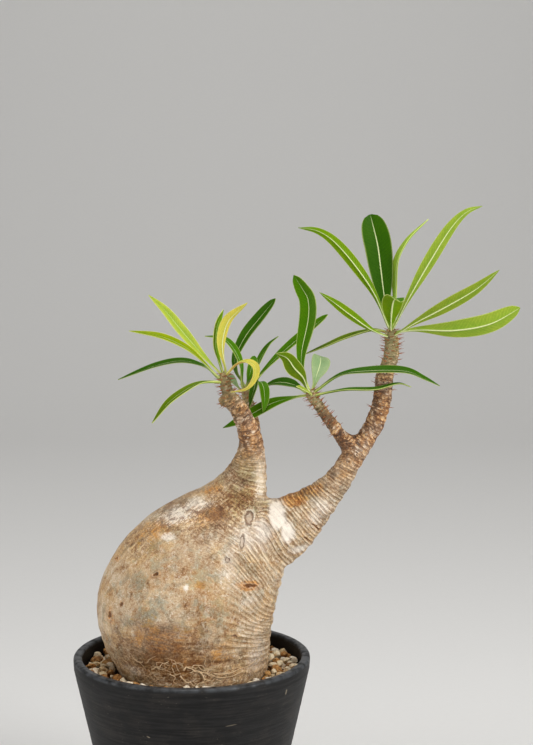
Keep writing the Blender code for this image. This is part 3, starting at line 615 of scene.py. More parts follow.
class StageLook(bpy.types.PropertyGroup):
    """Floor and light."""

    floor_colour: FloatVectorProperty(name="Floor", description="Colour of the floor and backdrop",
                                      subtype="COLOR", default=(0.74, 0.73, 0.71))
    key_power: FloatProperty(name="Key light", description="Power of the lamp at the right", unit="POWER",
                             default=11)
    fill_power: FloatProperty(name="Fill light", description="Power of the lamp at the left", unit="POWER",
                              default=6)
    top_power: FloatProperty(name="Top light", description="Power of the lamp above", unit="POWER", default=8)
    back_power: FloatProperty(name="Backdrop light", description="Power of the lamp on the backdrop",
                              unit="POWER", default=16)
    sky: FloatProperty(name="Sky", description="Strength of the even light all round", default=0.16)


class PotLook(bpy.types.PropertyGroup):
    """The turned pot."""

    wall: FloatProperty(name="Wall", description="Thickness of the wall", unit="LENGTH", default=4.5 * MM)
    band: FloatProperty(name="Rim band", description="Height of the rim band", unit="LENGTH", default=5 * MM)
    foot: FloatProperty(name="Foot", description="Radius of the foot", unit="LENGTH", default=40 * MM)
    groove: FloatProperty(name="Turning lines", description="Depth of the fine turning lines", unit="LENGTH",
                          default=0.05 * MM)
    colour: FloatVectorProperty(name="Colour", description="Colour of the clay", subtype="COLOR",
                                default=(0.0045, 0.0043, 0.0043))


class GritLook(bpy.types.PropertyGroup):
    """The loose grains."""

    grains: IntProperty(name="Grains", description="Grains tried, less those that would lie too high",
                        default=560)
    smallest: FloatProperty(name="Smallest", description="Radius of the smallest grain", unit="LENGTH",
                            default=1.1 * MM)
    largest: FloatProperty(name="Largest", description="Radius of the largest grain", unit="LENGTH",
                           default=3.6 * MM)
    pumice: FloatProperty(name="Pumice", description="Share of pale pumice", subtype="FACTOR", default=0.68)
    seed: IntProperty(name="Seed", description="Seed of the heap", default=4)


class BarkLook(bpy.types.PropertyGroup):
    """The caudex and its branches."""

    voxel: FloatProperty(name="Fineness", description="Size of the bark's facets", unit="LENGTH",
                         default=0.83 * MM)
    ridge: FloatProperty(name="Ridges", description="Height of the ridges on the right flank", unit="LENGTH",
                         default=0.85 * MM)
    ridge_pitch: FloatProperty(name="Ridge pitch", description="From one ridge to the next", unit="LENGTH",
                               default=3.8 * MM)
    ring_pitch: FloatProperty(name="Ring pitch", description="From one fine ring to the next", unit="LENGTH",
                              default=1.8 * MM)
    tan: FloatVectorProperty(name="Tan", description="Main colour of the bark", subtype="COLOR",
                             default=(0.5, 0.355, 0.21))


class SpineLook(bpy.types.PropertyGroup):
    """The spines."""

    radius: FloatProperty(name="Radius", description="Radius at the root", unit="LENGTH", default=0.22 * MM)
    length: FloatProperty(name="Length", description="Length of the youngest spines", unit="LENGTH",
                          default=4 * MM)
    step: FloatProperty(name="Step", description="From one pair to the next up the limb", unit="LENGTH",
                        default=0.34 * MM)
    bend: FloatProperty(name="Bend", description="How far a spine bends, as a share of its length",
                        subtype="FACTOR", default=0.12)


class LeafLook(bpy.types.PropertyGroup):
    """The leaves."""

    thickness: FloatProperty(name="Thickness", description="Thickness at the midrib", unit="LENGTH",
                             default=0.75 * MM)
    fold: FloatProperty(name="Fold", description="Angle between half a blade and flat", unit="ROTATION",
                        default=math.radians(16))
    camber: FloatProperty(name="Camber", description="Rounding of each half, as a share of its width",
                          subtype="FACTOR", default=0.12)


LOOKS = {"stage_look": StageLook, "pot_look": PotLook, "grit_look": GritLook, "bark_look": BarkLook,
         "spine_look": SpineLook, "leaf_look": LeafLook}


class PACHYPODIUM_OT_stage(bpy.types.Operator):
    """Set up the camera, the pale floor and the soft light"""

    bl_idname = "pachypodium.stage"
    bl_label = "Stage"

    camera_place = (0.03788, -0.87365, 0.35413)
    camera_pitch = math.radians(82.5)
    lens = 85.53
    floor_size = 6
    backdrop_height = 3
    floor_bend = 1.2
    plant_middle = (0.03, 0, 0.17)

    def execute(self, context):
        look = context.scene.stage_look
        self.add_camera(context)
        self.add_floor(look)
        self.add_light("key_light", look.key_power, 0.6, (0.95, -0.7, 0.5), self.plant_middle)
        self.add_light("fill_light", look.fill_power, 0.7, (-1.05, -0.5, 0.35), self.plant_middle)
        self.add_light("top_light", look.top_power, 0.8, (0.1, -0.35, 1.25), self.plant_middle)
        self.add_light("backdrop_light", look.back_power, 1.6, (0, 0.9, 2.4), (0, 2.4, 0.7))
        world = bpy.data.worlds.new("even_light")
        context.scene.world = world
        world.use_nodes = True
        world.node_tree.nodes["Background"].inputs["Color"].default_value = (1, 1, 1, 1)
        world.node_tree.nodes["Background"].inputs["Strength"].default_value = look.sky
        context.scene.view_settings.view_transform = "Standard"
        return {"FINISHED"}

    def add_camera(self, context):
        bpy.ops.object.camera_add(location=self.camera_place, rotation=(self.camera_pitch, 0, 0))
        camera = context.object
        camera.data.lens = self.lens
        camera.data.sensor_width = 36
        camera.data.clip_start = 0.01
        context.scene.camera = camera

    def add_floor(self, look):
        """A floor that turns up into a backdrop behind the plant."""
        bpy.ops.mesh.primitive_plane_add(size=self.floor_size, location=(0, -0.6, 0))
        floor = bpy.context.object
        floor.name = "floor"
        bpy.ops.object.transform_apply(location=True)
        back = max(vertex.co.y for vertex in floor.data.vertices)
        with edit_mode("DESELECT"):
            bpy.ops.mesh.select_mode(type="EDGE")
        for edge in floor.data.edges:
            edge.select = all(floor.data.vertices[corner].co.y > back - MM for corner in edge.vertices)
        with edit_mode(None):
            bpy.ops.mesh.extrude_region_move(TRANSFORM_OT_translate={"value": (0, 0, self.backdrop_height)})
        for edge in floor.data.edges:
            heights = [floor.data.vertices[corner].co.z for corner in edge.vertices]
            depths = [floor.data.vertices[corner].co.y for corner in edge.vertices]
            edge.select = max(heights) < MM and min(depths) > back - MM
        with edit_mode(None):
            bpy.ops.mesh.bevel(offset=self.floor_bend, offset_pct=0, segments=16, affect="EDGES")
        bpy.ops.object.shade_smooth()
        paper = Recipe("backdrop_paper")
        grain = paper.noise(paper.place, 0.004, detail=4)
        pale = tuple(look.floor_colour)
        shade = tuple(0.97 * part for part in pale)
        floor.data.materials.append(paper.finish(Base_Color=paper.mix(grain, shade, pale), Roughness=0.85))

    def add_light(self, name, power, size, place, target):
        bpy.ops.object.light_add(type="AREA", location=place)
        lamp = bpy.context.object
        lamp.name = name
        lamp.data.shape = "DISK"
        lamp.data.size = size
        lamp.data.energy = power
        aim = Vector(target) - lamp.location
        lamp.rotation_euler = aim.to_track_quat("-Z", "Y").to_euler()


def wall_radius(look, height):
    """Radius of the pot's outer wall at a height."""
    lean = (POT_HIGH.x - look.foot) / (POT_HIGH.z - look.band)
    return look.foot + lean * height


class PACHYPODIUM_OT_pot(bpy.types.Operator):
    """Turn the pot, cut its drain holes and foot notches, and finish it"""

    bl_idname = "pachypodium.pot"
    bl_label = "Pot"

    rim_round = 1.4 * MM
    floor_top = 6 * MM
    recess = 2.5 * MM
    ring_width = 7 * MM
    pad_radius = 12 * MM
    line_spacing = 0.9 * MM
    hole_circle = 22 * MM
    hole_radius = 4 * MM
    notch_width = 8 * MM

    def execute(self, context):
        look = context.scene.pot_look
        pot = ring_solid(self.profile(look), 160)
        cutters = [*self.drain_holes(), *self.foot_notches(look)]
        for number, cutter in enumerate(cutters):
            apply_modifier(pot, f"cut_{number}", "BOOLEAN", operation="DIFFERENCE", object=cutter)
            bpy.data.objects.remove(cutter, do_unlink=True)
        smooth_by_angle(pot, 35)
        finish_piece(pot, "turned_pot", self.clay(look), "black_pot", "pot")
        return {"FINISHED"}

    def profile(self, look):
        """Inner wall, rounded rim, band, outer wall with its turning lines, foot ring and middle pad."""
        top = POT_HIGH.z
        inside = POT_HIGH.x - look.wall
        under_band = top - look.band
        draw = random.Random(3)
        lines = []
        height = under_band - 1.6 * MM
        while height > 3 * MM:
            depth = look.groove * draw.uniform(-1, 1)
            lines.append((wall_radius(look, height) + depth, height))
            height -= self.line_spacing * draw.uniform(0.5, 1.5)
        ring_inside = look.foot - self.ring_width
        return [
            (wall_radius(look, self.floor_top) - look.wall, self.floor_top),
            (wall_radius(look, GRIT_HIGH.z) - look.wall, GRIT_HIGH.z - 3 * MM),
            *arc(inside + self.rim_round, top - self.rim_round, 180, 90, self.rim_round),
            *arc(POT_HIGH.x - self.rim_round, top - self.rim_round, 90, 0, self.rim_round),
            (POT_HIGH.x - 0.05 * MM, top - 2.6 * MM),
            (POT_HIGH.x - 0.12 * MM, under_band + 0.8 * MM),
            (POT_HIGH.x - 0.4 * MM, under_band + 0.1 * MM),
            (wall_radius(look, under_band - MM), under_band - 0.8 * MM),
            *lines,
            (wall_radius(look, 1.2 * MM) - 0.1 * MM, 1.2 * MM),
            (look.foot - 0.5 * MM, 0.3 * MM),
            (look.foot - 1.2 * MM, 0),
            (ring_inside, 0),
            (ring_inside, self.recess),
            (self.pad_radius, self.recess),
            (self.pad_radius, 0),
        ]

    def drain_holes(self):
        """Cutters for the six holes on a circle in the floor of the pot."""
        for index in range(6):
            angle = math.radians(60 * index + 30)
            place = (self.hole_circle * math.cos(angle), self.hole_circle * math.sin(angle),
                     self.floor_top / 2)
            bpy.ops.mesh.primitive_cylinder_add(vertices=32, radius=self.hole_radius,
                                                depth=4 * self.floor_top, location=place)
            yield bpy.context.object

    def foot_notches(self, look):
        """Cutters for the three notches in the foot ring."""
        for index in range(3):
            angle = math.radians(120 * index)
            place = (look.foot * math.cos(angle), look.foot * math.sin(angle), 0)
            bpy.ops.mesh.primitive_cube_add(size=1, location=place, rotation=(0, 0, angle))
            bpy.context.object.scale = (3 * self.ring_width, self.notch_width, 1.6 * self.recess)
            yield bpy.context.object

    def clay(self, look):
        """Matt black clay with fine turning streaks, a worn satin rim painted paler for its wear and for a
        painted sheen, and a few pale flecks.
        """
        clay = Recipe("black_clay")
        streaks = clay.noise(clay.stretched(clay.place, (0.05, 0.05, 1)), 1.3 * MM, detail=6, roughness=0.7)
        cloudy = clay.noise(clay.place, 14 * MM, detail=5, roughness=0.65)
        black = tuple(look.colour)
        colour = clay.paint(black, tuple(3 * part for part in black), clay.band(streaks, 0.4, 0.64))
        dust = clay.product(clay.band(cloudy, 0.45, 0.65), clay.band(streaks, 0.42, 0.62, 0.2, 1))
        colour = clay.paint(colour, (0.025, 0.021, 0.018), dust, 0.7)
        rim = clay.band(clay.split(clay.place)["Z"], POT_HIGH.z - 2.4 * MM, POT_HIGH.z - 0.5 * MM)
        rim_wear_and_sheen = clay.product(rim, clay.band(clay.noise(clay.place, 5 * MM, detail=6), 0.3, 0.65))
        # The rim band is painted paler: partly wear, partly painted sheen on the satin rim.
        colour = clay.paint(colour, (0.058, 0.062, 0.067), rim_wear_and_sheen)
        flecks = clay.noise(clay.stretched(clay.place, (1, 1, 2.2)), 1.2 * MM, detail=2)
        flecks = clay.band(flecks, 0.68, 0.74, 0, 0.7)
        colour = clay.paint(colour, (0.15, 0.13, 0.105), flecks, clay.band(cloudy, 0.5, 0.6))
        scratch = clay.band(clay.nearest_mark(SCRATCHES, clay.place), 1, 0.5)
        colour = clay.paint(colour, (0.3, 0.25, 0.18), scratch, clay.band(streaks, 0.35, 0.6, 0.3, 0.9))
        bump = clay.bump(streaks, 0.12 * MM)
        bump = clay.bump(clay.noise(clay.place, 0.5 * MM, detail=3), 0.04 * MM, bump)
        return clay.finish(Base_Color=colour, Roughness=clay.band(rim_wear_and_sheen, 0, 1, 0.55, 0.3), Normal=bump,
                           Specular_IOR_Level=0.2)


class PACHYPODIUM_OT_grit(bpy.types.Operator):
    """Heap loose grains of pumice and baked clay round the caudex"""

    bl_idname = "pachypodium.grit"
    bl_label = "Grit"

    bed_level = 84.5 * MM
    bed_foot = 6.5 * MM
    bed_gap = 0.3 * MM
    pit_radius = 39 * MM
    models = 7
    tries = 12

    def execute(self, context):
        look = context.scene.grit_look
        draw = random.Random(look.seed)
        self.add_bed(context)
        grains = self.heap(look, draw, context.scene.pot_look)
        for kind, name, share, recipe in (("pumice", "pumice_grains", look.pumice, self.pumice),
                                          ("clay", "clay_grains", 1 - look.pumice, self.baked_clay)):
            models = [self.add_model(draw, kind) for _ in range(self.models)]
            mine = [grain for grain in grains if grain[2] == kind]
            copies = []
            for place, size, _ in mine:
                copies.append(self.add_copy(draw.choice(models), place, size, draw))
            for model in models:
                bpy.data.objects.remove(model, do_unlink=True)
            select_only(*copies)
            bpy.ops.object.join()
            smooth_by_angle(copies[0], 28)
            finish_piece(copies[0], name, recipe(), "grit")
        return {"FINISHED"}

    def add_bed(self, context):
        """The packed grit below the loose grains, with a pit for the foot of the caudex; its near-black
        colour is painted shade in the gaps between the grains.
        """
        look = context.scene.pot_look
        inset = look.wall + self.bed_gap
        profile = [
            (6 * MM, 46 * MM),
            (16 * MM, 50 * MM),
            (27 * MM, 60 * MM),
            (35.5 * MM, 73 * MM),
            (self.pit_radius, self.bed_level),
            (wall_radius(look, self.bed_level) - inset, self.bed_level),
            (wall_radius(look, self.bed_foot) - inset, self.bed_foot),
        ]
        bed = ring_solid(profile, 96)
        apply_modifier(bed, "Loose", "TRIANGULATE")
        soil = Recipe("grit_bed_shade")
        crumbs = soil.noise(soil.place, 1.5 * MM, detail=5, roughness=0.7)
        # Near-black crumbs: painted shade, which shows in the gaps between the loose grains.
        colour = soil.ramp(crumbs, ((0.35, (0.02, 0.012, 0.006)), (0.65, (0.12, 0.07, 0.03))))
        material = soil.finish(Base_Color=colour, Roughness=0.95, Normal=soil.bump(crumbs, 0.8 * MM))
        finish_piece(bed, "grit_bed", material, "grit", "grit")

    def heap(self, look, draw, pot):
        """Drops grains one by one, each to the lowest of several places, and returns (place, size, kind)."""
        outer = wall_radius(pot, GRIT_HIGH.z) - pot.wall
        places = np.zeros((0, 3))
        sizes = np.zeros(0)
        grains = []
        for _ in range(look.grains):
            size = look.smallest + (look.largest - look.smallest) * draw.random() ** 1.6
            best = None
            for _ in range(self.tries):
                angle = draw.uniform(0, 2 * math.pi)
                reach = draw.uniform(self.pit_radius + 0.5 * MM + 0.5 * size, outer - 0.9 * size)
                spot = np.array((reach * math.cos(angle), reach * math.sin(angle)))
                height = self.bed_level + 0.6 * size
                if len(sizes):
                    apart = ((places[:, :2] - spot) ** 2).sum(1)
                    touch = (0.86 * (sizes + size)) ** 2 - apart
                    near = touch > 0
                    if near.any():
                        height = max(height, (places[near, 2] + np.sqrt(touch[near])).max())
                if best is None or height < best[2]:
                    best = (*spot, height)
            if best[2] + 0.8 * size > GRIT_HIGH.z + 1.2 * MM:
                continue
            places = np.vstack((places, best))
            sizes = np.append(sizes, size)
            grains.append((best, size, "pumice" if draw.random() < look.pumice else "clay"))
        return grains

    def add_model(self, draw, kind):
        """One grain of unit size: a ball cut flat by a few planes, with its edges worn round."""
        bpy.ops.object.select_all(action="DESELECT")
        bpy.ops.mesh.primitive_ico_sphere_add(subdivisions=2, radius=1)
        grain = bpy.context.object
        cuts, nearest = (7, 0.55) if kind == "pumice" else (5, 0.68)
        with edit_mode():
            for _ in range(cuts):
                facing = Vector((draw.gauss(0, 1), draw.gauss(0, 1), draw.gauss(0, 1))).normalized()
                bpy.ops.mesh.bisect(plane_co=facing * draw.uniform(nearest, 0.85), plane_no=facing,
                                    use_fill=True, clear_outer=True)
                bpy.ops.mesh.select_all(action="SELECT")
            bpy.ops.mesh.remove_doubles(threshold=0.08)
            bpy.ops.mesh.quads_convert_to_tris()
        roughness = 0.16 if kind == "pumice" else 0.1
        shift = draw.uniform(0, 50)
        for vertex in grain.data.vertices:
            vertex.co *= 1 + roughness * noise.noise(vertex.co * 1.9 + Vector((shift, 0, 0)))
        return grain

    def add_copy(self, model, place, size, draw):
        copy = model.copy()
        copy.data = model.data.copy()
        bpy.context.collection.objects.link(copy)
        turn = Euler([draw.uniform(0, 2 * math.pi) for _ in range(3)]).to_matrix().to_4x4()
        long = draw.uniform(1, 1.45)
        shape = Matrix.Diagonal((size * long, size * draw.uniform(0.8, 1),
                                 size * draw.uniform(0.65, 0.95), 1))
        lay = Euler((draw.gauss(0, 0.35), draw.gauss(0, 0.35), draw.uniform(0, 2 * math.pi)))
        lay = lay.to_matrix().to_4x4()
        copy.data.transform(Matrix.Translation(place) @ lay @ shape @ turn)
        tone = copy.data.attributes.new("tone", "FLOAT", "POINT")
        tone.data.foreach_set("value", [draw.random()] * len(copy.data.vertices))
        return copy

    def pumice(self):
        """Cream pumice, some grains stained with ochre."""
        stone = Recipe("pumice")
        tone = stone.attribute("tone", "Fac")
        colour = stone.ramp(tone, ((0, (0.95, 0.84, 0.62)), (0.35, (0.9, 0.7, 0.4)), (0.6, (0.97, 0.9, 0.75)),
                                   (0.85, (0.8, 0.56, 0.28)), (1, (0.85, 0.75, 0.58))))
        stains = stone.band(stone.noise(stone.place, 2.2 * MM, detail=4), 0.54, 0.64, 0, 0.65)
        colour = stone.paint(colour, (0.6, 0.31, 0.08), stains)
        pores = stone.noise(stone.place, 0.6 * MM, detail=5, roughness=0.8)
        colour = stone.paint(colour, (0.2, 0.12, 0.05), stone.band(pores, 0.42, 0.32, 0, 0.75))
        return stone.finish(Base_Color=colour, Roughness=0.85, Normal=stone.bump(pores, 0.5 * MM))

    def baked_clay(self):
        """Ochre to dark brown crumbs of baked clay."""
        stone = Recipe("baked_clay")
        tone = stone.attribute("tone", "Fac")
        colour = stone.ramp(tone, ((0, (0.22, 0.09, 0.02)), (0.3, (0.55, 0.26, 0.07)),
                                   (0.55, (0.4, 0.17, 0.04)), (0.8, (0.66, 0.36, 0.12)),
                                   (1, (0.1, 0.045, 0.02))))
        crumbs = stone.noise(stone.place, 1.3 * MM, detail=5, roughness=0.7)
        colour = stone.paint(colour, (0.75, 0.45, 0.17), stone.band(crumbs, 0.5, 0.65, 0, 0.7))
        colour = stone.paint(colour, (0.08, 0.03, 0.01), stone.band(crumbs, 0.48, 0.36, 0, 0.85))
        return stone.finish(Base_Color=colour, Roughness=0.9, Normal=stone.bump(crumbs, 0.9 * MM))


class Bark:
    """The bark's fine mesh, and where on the plant each of its points lies."""

    obj = None
    tips = []

    @classmethod
    def surface(cls):
        mesh = cls.obj.data
        return BVHTree.FromPolygons([vertex.co for vertex in mesh.vertices],
                                    [polygon.vertices for polygon in mesh.polygons])

    @staticmethod
    def along(points):
        """How far up its limb each point lies, in millimetres, and how far it is from the limb's middle."""
        samples = []
        reaches = []
        for line in LIMBS.values():
            smooth = np.array(curve_through(line, 10))
            steps = np.linalg.norm(np.diff(smooth, axis=0), axis=1)
            samples.append(smooth)
            reaches.append(np.concatenate(([0], np.cumsum(steps))))
        samples = np.vstack(samples)
        reaches = np.concatenate(reaches)
        along = np.zeros(len(points))
        middle = np.zeros(len(points))
        for start in range(0, len(points), 8000):
            part = slice(start, start + 8000)
            apart = np.linalg.norm(points[part, None, :] - samples[None], axis=2)
            nearest = apart.min(axis=1)
            weights = np.exp(-(apart - nearest[:, None]) / (0.12 * nearest[:, None] + 0.3))
            along[part] = (weights * reaches).sum(axis=1) / weights.sum(axis=1)
            middle[part] = nearest
        return along, middle


class BarkSkin(Recipe):
    """Satin tan skin with grey-green clouds and flecks, and rough scales on the branches."""

    def __init__(self, look):
        super().__init__("bark")
        self.look = look
        form = self.split(self.attribute("form", "Vector"))
        self.along = self.math("MULTIPLY", form["X"], MM)
        self.rings, self.scales = form["Y"], form["Z"]
        tint = self.split(self.attribute("tint", "Vector"))
        self.orange, self.green, self.dark = tint["X"], tint["Y"], tint["Z"]
        self.pale = self.attribute("tint", "Alpha")
        self.rough = self.attribute("rough", "Fac")
        self.relief = self.attribute("relief", "Fac")
        self.height = self.split(self.place)["Z"]
        self.low = self.band(self.height, FINE_RINGS_FROM * MM, BROAD_RIDGES_TO * MM)

        self.crosswise = self.unrolled(0.12, 1)
        slanted = self.node("Mapping", {"Vector": self.place, "Rotation": (0, math.radians(-38), 0),
                                        "Scale": (5, 2, 1)}, vector_type="TEXTURE").outputs["Vector"]
        self.broad = self.noise(self.place, 22 * MM, detail=3, distortion=0.5)
        self.clouds = self.noise(self.place, 7 * MM, detail=6, roughness=0.62, distortion=0.9)
        self.mottle = self.noise(self.place, 1.9 * MM, detail=6, roughness=0.8)
        self.grain = self.noise(self.place, 0.8 * MM, detail=3, roughness=0.8)
        self.streaks = self.noise(self.crosswise, 0.85 * MM, detail=6, roughness=0.7, distortion=0.3)
        self.fibres = self.noise(self.unrolled(1, 0.16), 1.1 * MM, detail=4, roughness=0.65)
        self.scuffs = self.noise(slanted, 0.9 * MM, detail=6, roughness=0.75, distortion=0.4)

    def unrolled(self, around, up):
        """Coordinates round and up the limb, each scaled by its own factor."""
        place = self.split(self.place)
        return self.joined(self.product(place["X"], around), self.product(place["Y"], around),
                           self.product(self.along, up))

    def build(self):
        marked_place = self.wavering(self.place, 600, 2.6 * MM)
        knot = self.nearest_mark(KNOTS, marked_place)
        pit = self.nearest_mark(PITS, marked_place)
        wave, lines = self.ring_lines(knot)
        colour = self.stained(self.weathered(self.clean_skin(wave, lines)))
        colour, marks = self.scarred(colour, knot, pit)
        scaly, dots = self.scaly_skin()
        colour = self.paint(colour, scaly, self.scales, 0.95)

        normal = self.bump(self.product(self.band(wave, 0, 0.7), lines), 0.4 * MM)
        normal = self.bump(marks, 0.5 * MM, normal)
        normal = self.bump(self.product(self.band(dots, 0.15, 0.5), self.scales), 0.45 * MM, normal)
        normal = self.bump(self.mottle, 0.45 * MM, normal)
        dull = self.math("ADD", self.band(self.mottle, 0.3, 0.7, 0.4, 0.6), self.product(self.scales, 0.15))
        return self.finish(Base_Color=colour, Roughness=dull, Normal=normal, Specular_IOR_Level=0.4)

    def ring_lines(self, knot):
        """A wave up the limb, with fine rings above and broad ridges below, and how strongly it shows."""
        drift = self.noise(self.crosswise, 5 * MM, detail=3)
        turns = self.math("ADD", self.product(self.along, 1 / self.look.ring_pitch), self.product(drift, 1.5))
        fine_wave = self.math("PINGPONG", turns, 0.5)
        broad_wave = self.math("PINGPONG", self.product(self.along, 1 / self.look.ridge_pitch), 0.5)
        wave = self.product(self.mix(self.low, fine_wave, broad_wave), 2)
        wave = self.tone((wave, 1), (self.streaks, 1.3), (self.mottle, 0.5))
        fainter_below = self.math("SUBTRACT", 1, self.product(self.low, 0.4))
        lines = self.product(self.rings, self.band(self.pale, 0.5, 1, 1, 0.1), self.band(knot, 1.1, 2.2),
                             fainter_below)
        return wave, lines

    def clean_skin(self, wave, lines):
        """Smooth skin on the bulb, ringed skin on the limb and flank, and a crust where it is rough."""
        clouds, mottle, grain, streaks = self.clouds, self.mottle, self.grain, self.streaks
        fine = self.tone((mottle, 0.7), (grain, 0.9))
        # The relief weights paint raised bark paler and sunk bark darker: painted light and painted shade
        # over the tones.
        smooth = self.tone((self.broad, 0.9), (clouds, 1.1), (fine, 1.2), (self.fibres, 0.4),
                           (self.relief, 0.3))
        ringed = self.tone((self.broad, 0.4), (clouds, 0.9), (fine, 1.7), (streaks, 1), (self.relief, 0.5))
        crusty = self.tone((clouds, 0.3), (mottle, 2.2), (grain, 1.6), (self.scuffs, 3), (streaks, 2))
        skins = ((0.1, (0.2, 0.085, 0.025)), (0.3, (0.37, 0.2, 0.08)), (0.5, tuple(self.look.tan)),
                 (0.68, (0.6, 0.45, 0.29)), (0.9, (0.78, 0.68, 0.54)))
        colour = self.mix(self.rings, self.ramp(smooth, skins), self.ramp(ringed, skins))
        # Pale crests and dark gaps along the ring wave, which the bump also raises and sinks: partly the
        # bark's own ring lines, partly painted light on the crests and painted shade in the grooves.
        crests = self.product(self.band(wave, 0.6, 1), self.band(clouds, 0.4, 0.6, 0.15, 0.6))
        crest_colour = self.mix(self.low, (0.9, 0.75, 0.54), (0.95, 0.77, 0.5))
        colour = self.paint(colour, crest_colour, crests, lines)
        gaps = self.product(self.band(wave, 0.34, 0.02), self.band(clouds, 0.36, 0.6, 0.3, 0.8))
        gap_colour = self.mix(self.low, (0.22, 0.11, 0.04), (0.42, 0.26, 0.1))
        colour = self.paint(colour, gap_colour, gaps, lines)

        specks = self.noise(self.place, 1.3 * MM, detail=2)
        crust = self.ramp(crusty, skins)
        crust = self.paint(crust, (0.15, 0.085, 0.035), self.band(specks, 0.43, 0.35, 0, 0.75))
        crust = self.paint(crust, (0.9, 0.78, 0.56), self.band(specks, 0.6, 0.67, 0, 0.7))
        crust = self.glaze(crust, (1, 0.88, 0.64), 0.75)
        return self.paint(colour, crust, self.rough)

    def weathered(self, colour):
        """Golden and grey clouds, flakes, flecks, fine wrinkles, and painted shade in the hollows."""
        golden = self.noise(self.place, 12 * MM, detail=4, roughness=0.6)
        colour = self.glaze(colour, (1.0, 0.9, 0.72), self.band(golden, 0.46, 0.62))
        blotches = self.noise(self.place, 8 * MM, detail=5, roughness=0.6, distortion=0.7)
        colour = self.glaze(colour, (0.76, 0.8, 0.82), self.band(blotches, 0.52, 0.6))
        flakes = self.noise(self.place, 3.4 * MM, detail=6, roughness=0.75, distortion=0.5)
        colour = self.paint(colour, (0.7, 0.6, 0.47), self.band(flakes, 0.585, 0.62, 0, 0.4))
        flecks = self.noise(self.place, 0.9 * MM, detail=3, roughness=0.6)
        colour = self.paint(colour, (0.82, 0.73, 0.6), self.band(flecks, 0.645, 0.69, 0, 0.7))
        wrinkles = self.noise(self.place, 5 * MM, detail=5, roughness=0.6, distortion=1.2)
        wrinkles = self.band(self.math("ABSOLUTE", self.math("SUBTRACT", wrinkles, 0.5)), 0.014, 0.004)
        colour = self.paint(colour, (0.8, 0.7, 0.57), wrinkles, self.band(flakes, 0.48, 0.58, 0.05, 0.7))
        # Painted shade: the colour darkens where the relief sinks deepest, as if shade fell in the hollows.
        return self.paint(colour, (0.13, 0.06, 0.028), self.band(self.relief, 0.26, 0.02, 0, 0.75))

    def stained(self, colour):
        """The patches: orange, moss, dark pigment with painted shade, and a chalky film that peels, with
        painted light in places.
        """
        clouds, mottle, grain, streaks = self.clouds, self.mottle, self.grain, self.streaks
        scratchy = self.mix(self.rough, streaks, self.scuffs)
        edge = self.tone((mottle, 0.6), (streaks, 0.6), (clouds, 0.6))
        self.orange_mask = self.ragged(self.orange, edge, 1.6)
        colour = self.glaze(colour, (1, 0.7, 0.34), self.orange_mask)
        edge = self.tone((mottle, 1.2), (streaks, 0.5), (clouds, 1.4))
        mossy = self.ragged(self.green, edge, 1.8, 0.35, 0.9)
        moss = self.mix(self.rough, (0.64, 0.7, 0.7), (0.7, 0.68, 0.42))
        moss = self.mix(self.rings, moss, (0.7, 0.71, 0.56))
        colour = self.glaze(colour, moss, mossy)
        worn = self.tone((mottle, 1.2), (clouds, 0.6), (scratchy, 1.5), (grain, 0.6))
        # Dark patches: partly dark pigment, partly painted shade under the foot and on the shaded sides of
        # the limbs.
        self.pigment_and_shade_mask = self.band(self.tone((self.dark, 1), (worn, -0.9)), 0, 0.95)
        self.dark_pigment_and_shade = self.mix(self.rough, (0.37, 0.265, 0.21), (0.46, 0.31, 0.15))
        colour = self.glaze(colour, self.dark_pigment_and_shade, self.pigment_and_shade_mask, self.band(self.scales, 0, 1, 1, 0))
        # The pale patches: a chalky film, and partly painted light where they lift the shaded foot and lower
        # right flank.
        chalk = self.mix(self.band(self.height, 172 * MM, 182 * MM), (0.84, 0.76, 0.67), (0.88, 0.74, 0.5))
        film = self.band(self.pale, 0.2, 1, 0, 0.8)
        colour = self.paint(colour, chalk, film, self.band(self.rough, 0, 1, 1, 0.3))
        peeling_and_light = self.tone((scratchy, 2.6), (mottle, 1.2), (grain, 0.8))
        return self.paint(colour, (0.88, 0.79, 0.67), self.ragged(self.pale, peeling_and_light, 1.4, 0.5, 0.95), 0.7)

    def scarred(self, colour, knot, pit):
        """Old leaf scars, each with a dark groove and a pale lip, and pits with an orange halo."""
        moat = self.product(self.band(knot, 0.55, 0.82), self.band(knot, 1.15, 0.88),
                            self.band(self.mottle, 0.38, 0.5, 0.25, 1))
        lips = self.product(self.band(knot, 0.95, 1.2), self.band(knot, 1.9, 1.3))
        pit_lips = self.product(self.band(pit, 0.95, 1.15), self.band(pit, 1.9, 1.3))
        hollow = self.band(pit, 1.05, 0.6)
        colour = self.paint(colour, (0.5, 0.4, 0.31), self.band(knot, 1, 0.5, 0, 0.6))
        colour = self.paint(colour, (0.18, 0.1, 0.06), moat, 0.9)
        colour = self.paint(colour, (0.82, 0.73, 0.6), lips, self.band(self.mottle, 0.4, 0.6, 0, 0.5))
        colour = self.paint(colour, (0.82, 0.7, 0.54), pit_lips, 0.5)
        halo = self.product(self.band(pit, 3, 1), self.band(self.mottle, 0.4, 0.6, 0.2, 0.9))
        colour = self.glaze(colour, (1, 0.66, 0.36), halo)
        colour = self.paint(colour, (0.2, 0.08, 0.025), hollow, 0.85)
        marks = self.math("SUBTRACT", self.math("ADD", lips, pit_lips), self.math("ADD", moat, hollow))
        return colour, marks

